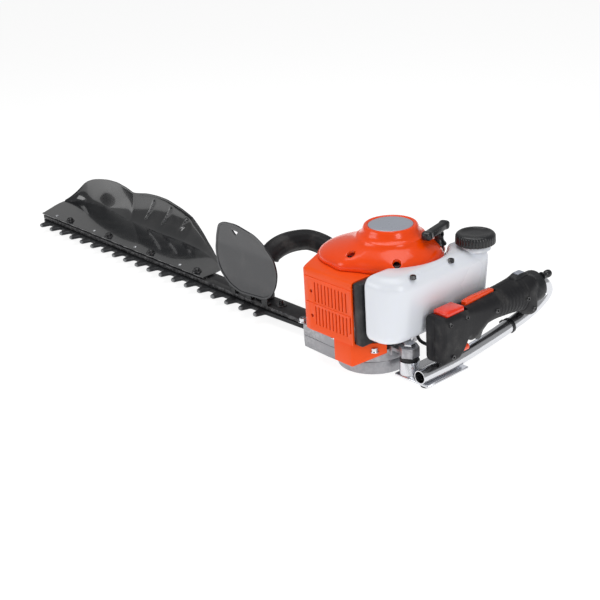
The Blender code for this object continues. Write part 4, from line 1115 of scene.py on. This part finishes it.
def makeRearTube():
    r = rearTube
    path = smoothPath(r["knots"], r["spans"])
    outside = ringsAlong(path, lambda share, angle: r["outer"] - (0.5 if share == 0 else 0.0), 48,
                         Vector((0, 0, 1)))
    inside = ringsAlong(path, lambda share, angle: r["inner"], 48, Vector((0, 0, 1)))
    bm = bmesh.new()
    made = bridgeRings(bm, outside + inside[::-1], closeEnds=False)
    for i in range(48):
        j = (i + 1) % 48
        bm.faces.new((made[-1][i], made[-1][j], made[0][j], made[0][i]))
    replaceNode("rearTubeBent", bm, "brightSteel", "rear_tube", sharp=45.0)

    at = round(r["tieAt"] * r["spans"])
    ahead = (path[at + 1] - path[at - 1]).normalized()
    turn = ahead.to_track_quat("Z", "Y").to_matrix().to_4x4()
    band = turnedMesh([(9.4, -2.2), (10.4, -2.2), (10.6, -1.8), (10.6, 1.8), (10.4, 2.2), (9.4, 2.2)],
                      steps=48)
    lock = boxMesh((8.8, -3.4, -3.2), (14.0, 3.4, 3.2))
    tail = boxMesh((11.2, -18.0, -2.0), (12.4, -2.0, 2.0))
    for name, bm in (("cableTieBand", band), ("cableTieLock", lock), ("cableTieTail", tail)):
        placeOn(bm, Matrix.Translation(path[at] * mm) @ turn)
        tie = placePiece(name, bm, "blackGloss", "body")
        softenEdges(tie, 0.4, 2, 45.0)


# rear grip: two moulded halves with a switch box, a round handle and a flared foot

rearGrip = {
    "x": 75.0, "gap": 0.12,
    "sections": [(-6.0, 35.0, 89.0, 13.0, 4.0), (-5.2, 32.6, 91.4, 15.4, 5.5),
                 (-3.0, 31.2, 92.8, 16.6, 7.0), (0.0, 31.0, 93.0, 16.8, 7.5), (14.0, 31.0, 93.0, 16.8, 7.5),
                 (22.0, 31.8, 93.0, 16.8, 7.5), (28.0, 36.0, 93.0, 16.8, 8.0),
                 (34.0, 44.0, 93.0, 16.7, 8.5), (39.0, 50.0, 93.0, 16.5, 9.0),
                 (44.0, 49.8, 93.2, 16.4, 10.0), (50.0, 45.4, 93.4, 16.4, 11.0),
                 (55.0, 45.4, 93.6, 16.6, 12.0), (63.0, 51.0, 94.0, 17.0, 13.5),
                 (72.0, 55.6, 94.6, 17.8, 15.5), (82.0, 57.0, 95.4, 18.6, 17.5),
                 (92.0, 57.4, 96.0, 19.2, 18.6), (100.0, 57.2, 96.0, 19.6, 19.0),
                 (120.0, 55.6, 96.6, 20.2, 19.6), (140.0, 53.4, 98.0, 21.2, 20.4),
                 (147.0, 51.6, 98.6, 21.6, 20.6), (152.0, 48.0, 98.8, 21.8, 19.0),
                 (157.0, 44.6, 98.6, 21.6, 16.0), (162.0, 43.6, 98.0, 21.2, 13.5),
                 (166.0, 44.4, 97.0, 20.6, 12.0), (168.0, 46.6, 95.0, 18.6, 10.0)],
    "ribs": (96.0, 148.0), "ribPitch": 6.5, "ribDepth": 0.8,
}


def readSection(y):
    rows = rearGrip["sections"]
    for before, after in zip(rows, rows[1:]):
        if y <= after[0]:
            t = (y - before[0]) / (after[0] - before[0])
            return [a + (b - a) * t for a, b in zip(before[1:], after[1:])]
    return list(rows[-1][1:])


def makeRearGrip():
    g = rearGrip
    ys = sorted({round(-6 + 0.8 * i, 2) for i in range(218) if -6 + 0.8 * i < 168} | {168.0})
    rings = []
    start, end = g["ribs"]
    for y in ys:
        low, high, half, radius = readSection(y)
        if start < y < end:
            wave = 0.5 - 0.5 * math.cos((y - start) / g["ribPitch"] * math.tau)
            dent = g["ribDepth"] * (1 - wave) ** 2
            low, half = low + dent, half - dent * 0.8
        radius = min(radius, half - 0.3, (high - low) / 2 - 0.3)
        ring = roundedBoxRing((-half, low), (half, high), (radius,) * 4, 9)
        rings.append([(g["x"] + x, y, z) for x, z in ring])
    for name, node, low, high in (
        ("rearGripBackHalf", "grip_back_half", g["x"] - 60, g["x"] + g["gap"]),
        ("rearGripFrontHalf", "grip_front_half", g["x"] - g["gap"], g["x"] + 60),
    ):
        bm = bmesh.new()
        bridgeRings(bm, rings)
        half = replaceNode(name, bm, "gripRubber", node, sharp=40.0)
        x = g["x"]
        rooms = [
            boxMesh((low, -30, 0), (high, 200, 130)),
            boxMesh((x - 7.5, 51, 30), (x + 7.5, 95, 72)),
            boxMesh((x - 5, 44, 80), (x + 5, 103, 120)),
            boxMesh((x - 12, 2, 89), (x + 12, 41, 120)),
            turnedMesh([(0, 9), (5, 9), (5, 45), (0, 45)], (x + 7, 0, 40), "Y", 32),
            turnedMesh([(0, 142), (10.0, 142), (10.0, 180), (0, 180)], (x, 0, 74), "Y", 48),
        ]
        cutWith(half, *rooms)
        softenEdges(half, 0.7, 3, 50.0)

    knob = [(0, 186.0), (5.4, 186.0), (5.8, 187.0), (3.4, 189.5), (3.2, 193.0), (5.0, 195.0), (5.4, 199.0),
            (4.6, 202.0), (2.4, 203.6), (0, 203.8)]
    placePiece("gripEndKnob", turnedMesh(knob, (86.0, 0, 90.0), "Y", 32), "blackGloss", "body")

    hump = []
    for i in range(25):
        share = i / 24
        y = 137 + 30 * share
        rise = 6.0 * math.sin(math.pi * min(max(share, 0.0), 1.0)) ** 0.5
        half = 7.5 * (0.5 + 0.5 * math.sin(math.pi * share) ** 0.5)
        hump.append([(x, y, z) for x, z in roundedBoxRing((g["x"] - half, 92.0), (g["x"] + half, 97.0 + rise),
                                                         (1.0, min(3.0, 0.4 * half), min(3.0, 0.4 * half),
                                                          1.0), 5)])
    bm = bmesh.new()
    bridgeRings(bm, hump)
    placePiece("rearGripHump", bm, "blackMoulding", "body", (), 40.0)
    window = placePiece("rearGripWindow", boxMesh((g["x"] - 4.2, 146, 101.0), (g["x"] + 4.2, 158, 104.2)),
                        "labelSheet", "body")
    softenEdges(window, 1.2, 4)
    for i, (y, z) in enumerate(((4, 84), (34, 84), (8, 40), (88, 76), (146, 74), (160, 56))):
        head = [(0, 0.6), (1.2, 0.6), (1.4, 1.8), (2.7, 1.6), (3.1, 1.0), (3.1, -3.0), (0, -3.0)]
        half = readSection(y)[2]
        placePiece(f"gripScrew{i + 1}", turnedMesh(head, (g["x"] + half, y, z), "X", 24), "boltBlack",
                   "body")


# case screws: socket heads round the gear case and the engine's fittings

def makeCaseScrews():
    head = [(0, 1.2), (2.2, 1.2), (2.5, 4.6), (4.3, 4.6), (4.7, 4.2), (4.7, -0.4), (6.2, -0.4), (6.2, -1.2),
            (0, -1.2)]
    spots = [(-140, -32, 34.4), (-140, 29, 34.4), (-70, -38, 34.4), (-2, -34, 34.4), (8, 18, 34.4)]
    for i, spot in enumerate(spots):
        placePiece(f"caseScrew{i + 1}", turnedMesh(head, spot, steps=32), "brightSteel", "body")


# kept nodes: welded, bevelled and given their finishes

finishes = [
    ("castAluminium", 1.0, ("gearcase_lower", "gearcase_upper", "crankcase", "cylinder")),
    ("machinedSteel", 0.3, ("carburettor", "drive_gear", "clutch_drum", "crankshaft_lower",
                            "crankshaft_upper",
                            "clutch_shoes", "piston", "connecting_rod", "upper_blade_rod", "lower_blade_rod",
                            "recoil_spring", "muffler", "spark_plug")),
    ("brightSteel", 0.5, ("tube_plate", "isolator_bolt")),
    ("barFinish", 0.4, ("guide_bar",)),
    ("blackMoulding", 0.8, ("heat_shield", "shield_bracket", "fan_housing", "air_filter", "flywheel",
                            "starter_pulley", "grip_collar")),
    ("blackGloss", 1.0, ("throttle_trigger", "plug_cap", "ignition_coil", "throttle_cable")),
    ("gripRubber", 0.8, ("isolator_rubber", "foot_1", "foot_2", "foot_3")),
    ("orangeSatin", 1.5, ("lower_skirt",)),
    ("orangeMoulding", 0.9, ("lockout_lever", "lock_button")),
    ("redSwitch", 1.5, ("stop_switch",)),
    ("braidedRope", 0.2, ("starter_rope",)),
]

makeCamera()
makeStudio()
print("studio ready")
for look, width, names in finishes:
    dressNodes(names, look, width)
print("kept nodes dressed")
makeBlades()
makeBolts()
makeDeflector()
makeShield()
print("cutter side ready")
makeFrontHandle()
makeEngineCover()
makeDome()
makeStarterGrip()
print("engine covers ready")
makeTank()
makeRearTube()
makeRearGrip()
makeCaseScrews()

bpy.context.scene.view_settings.view_transform = "Standard"
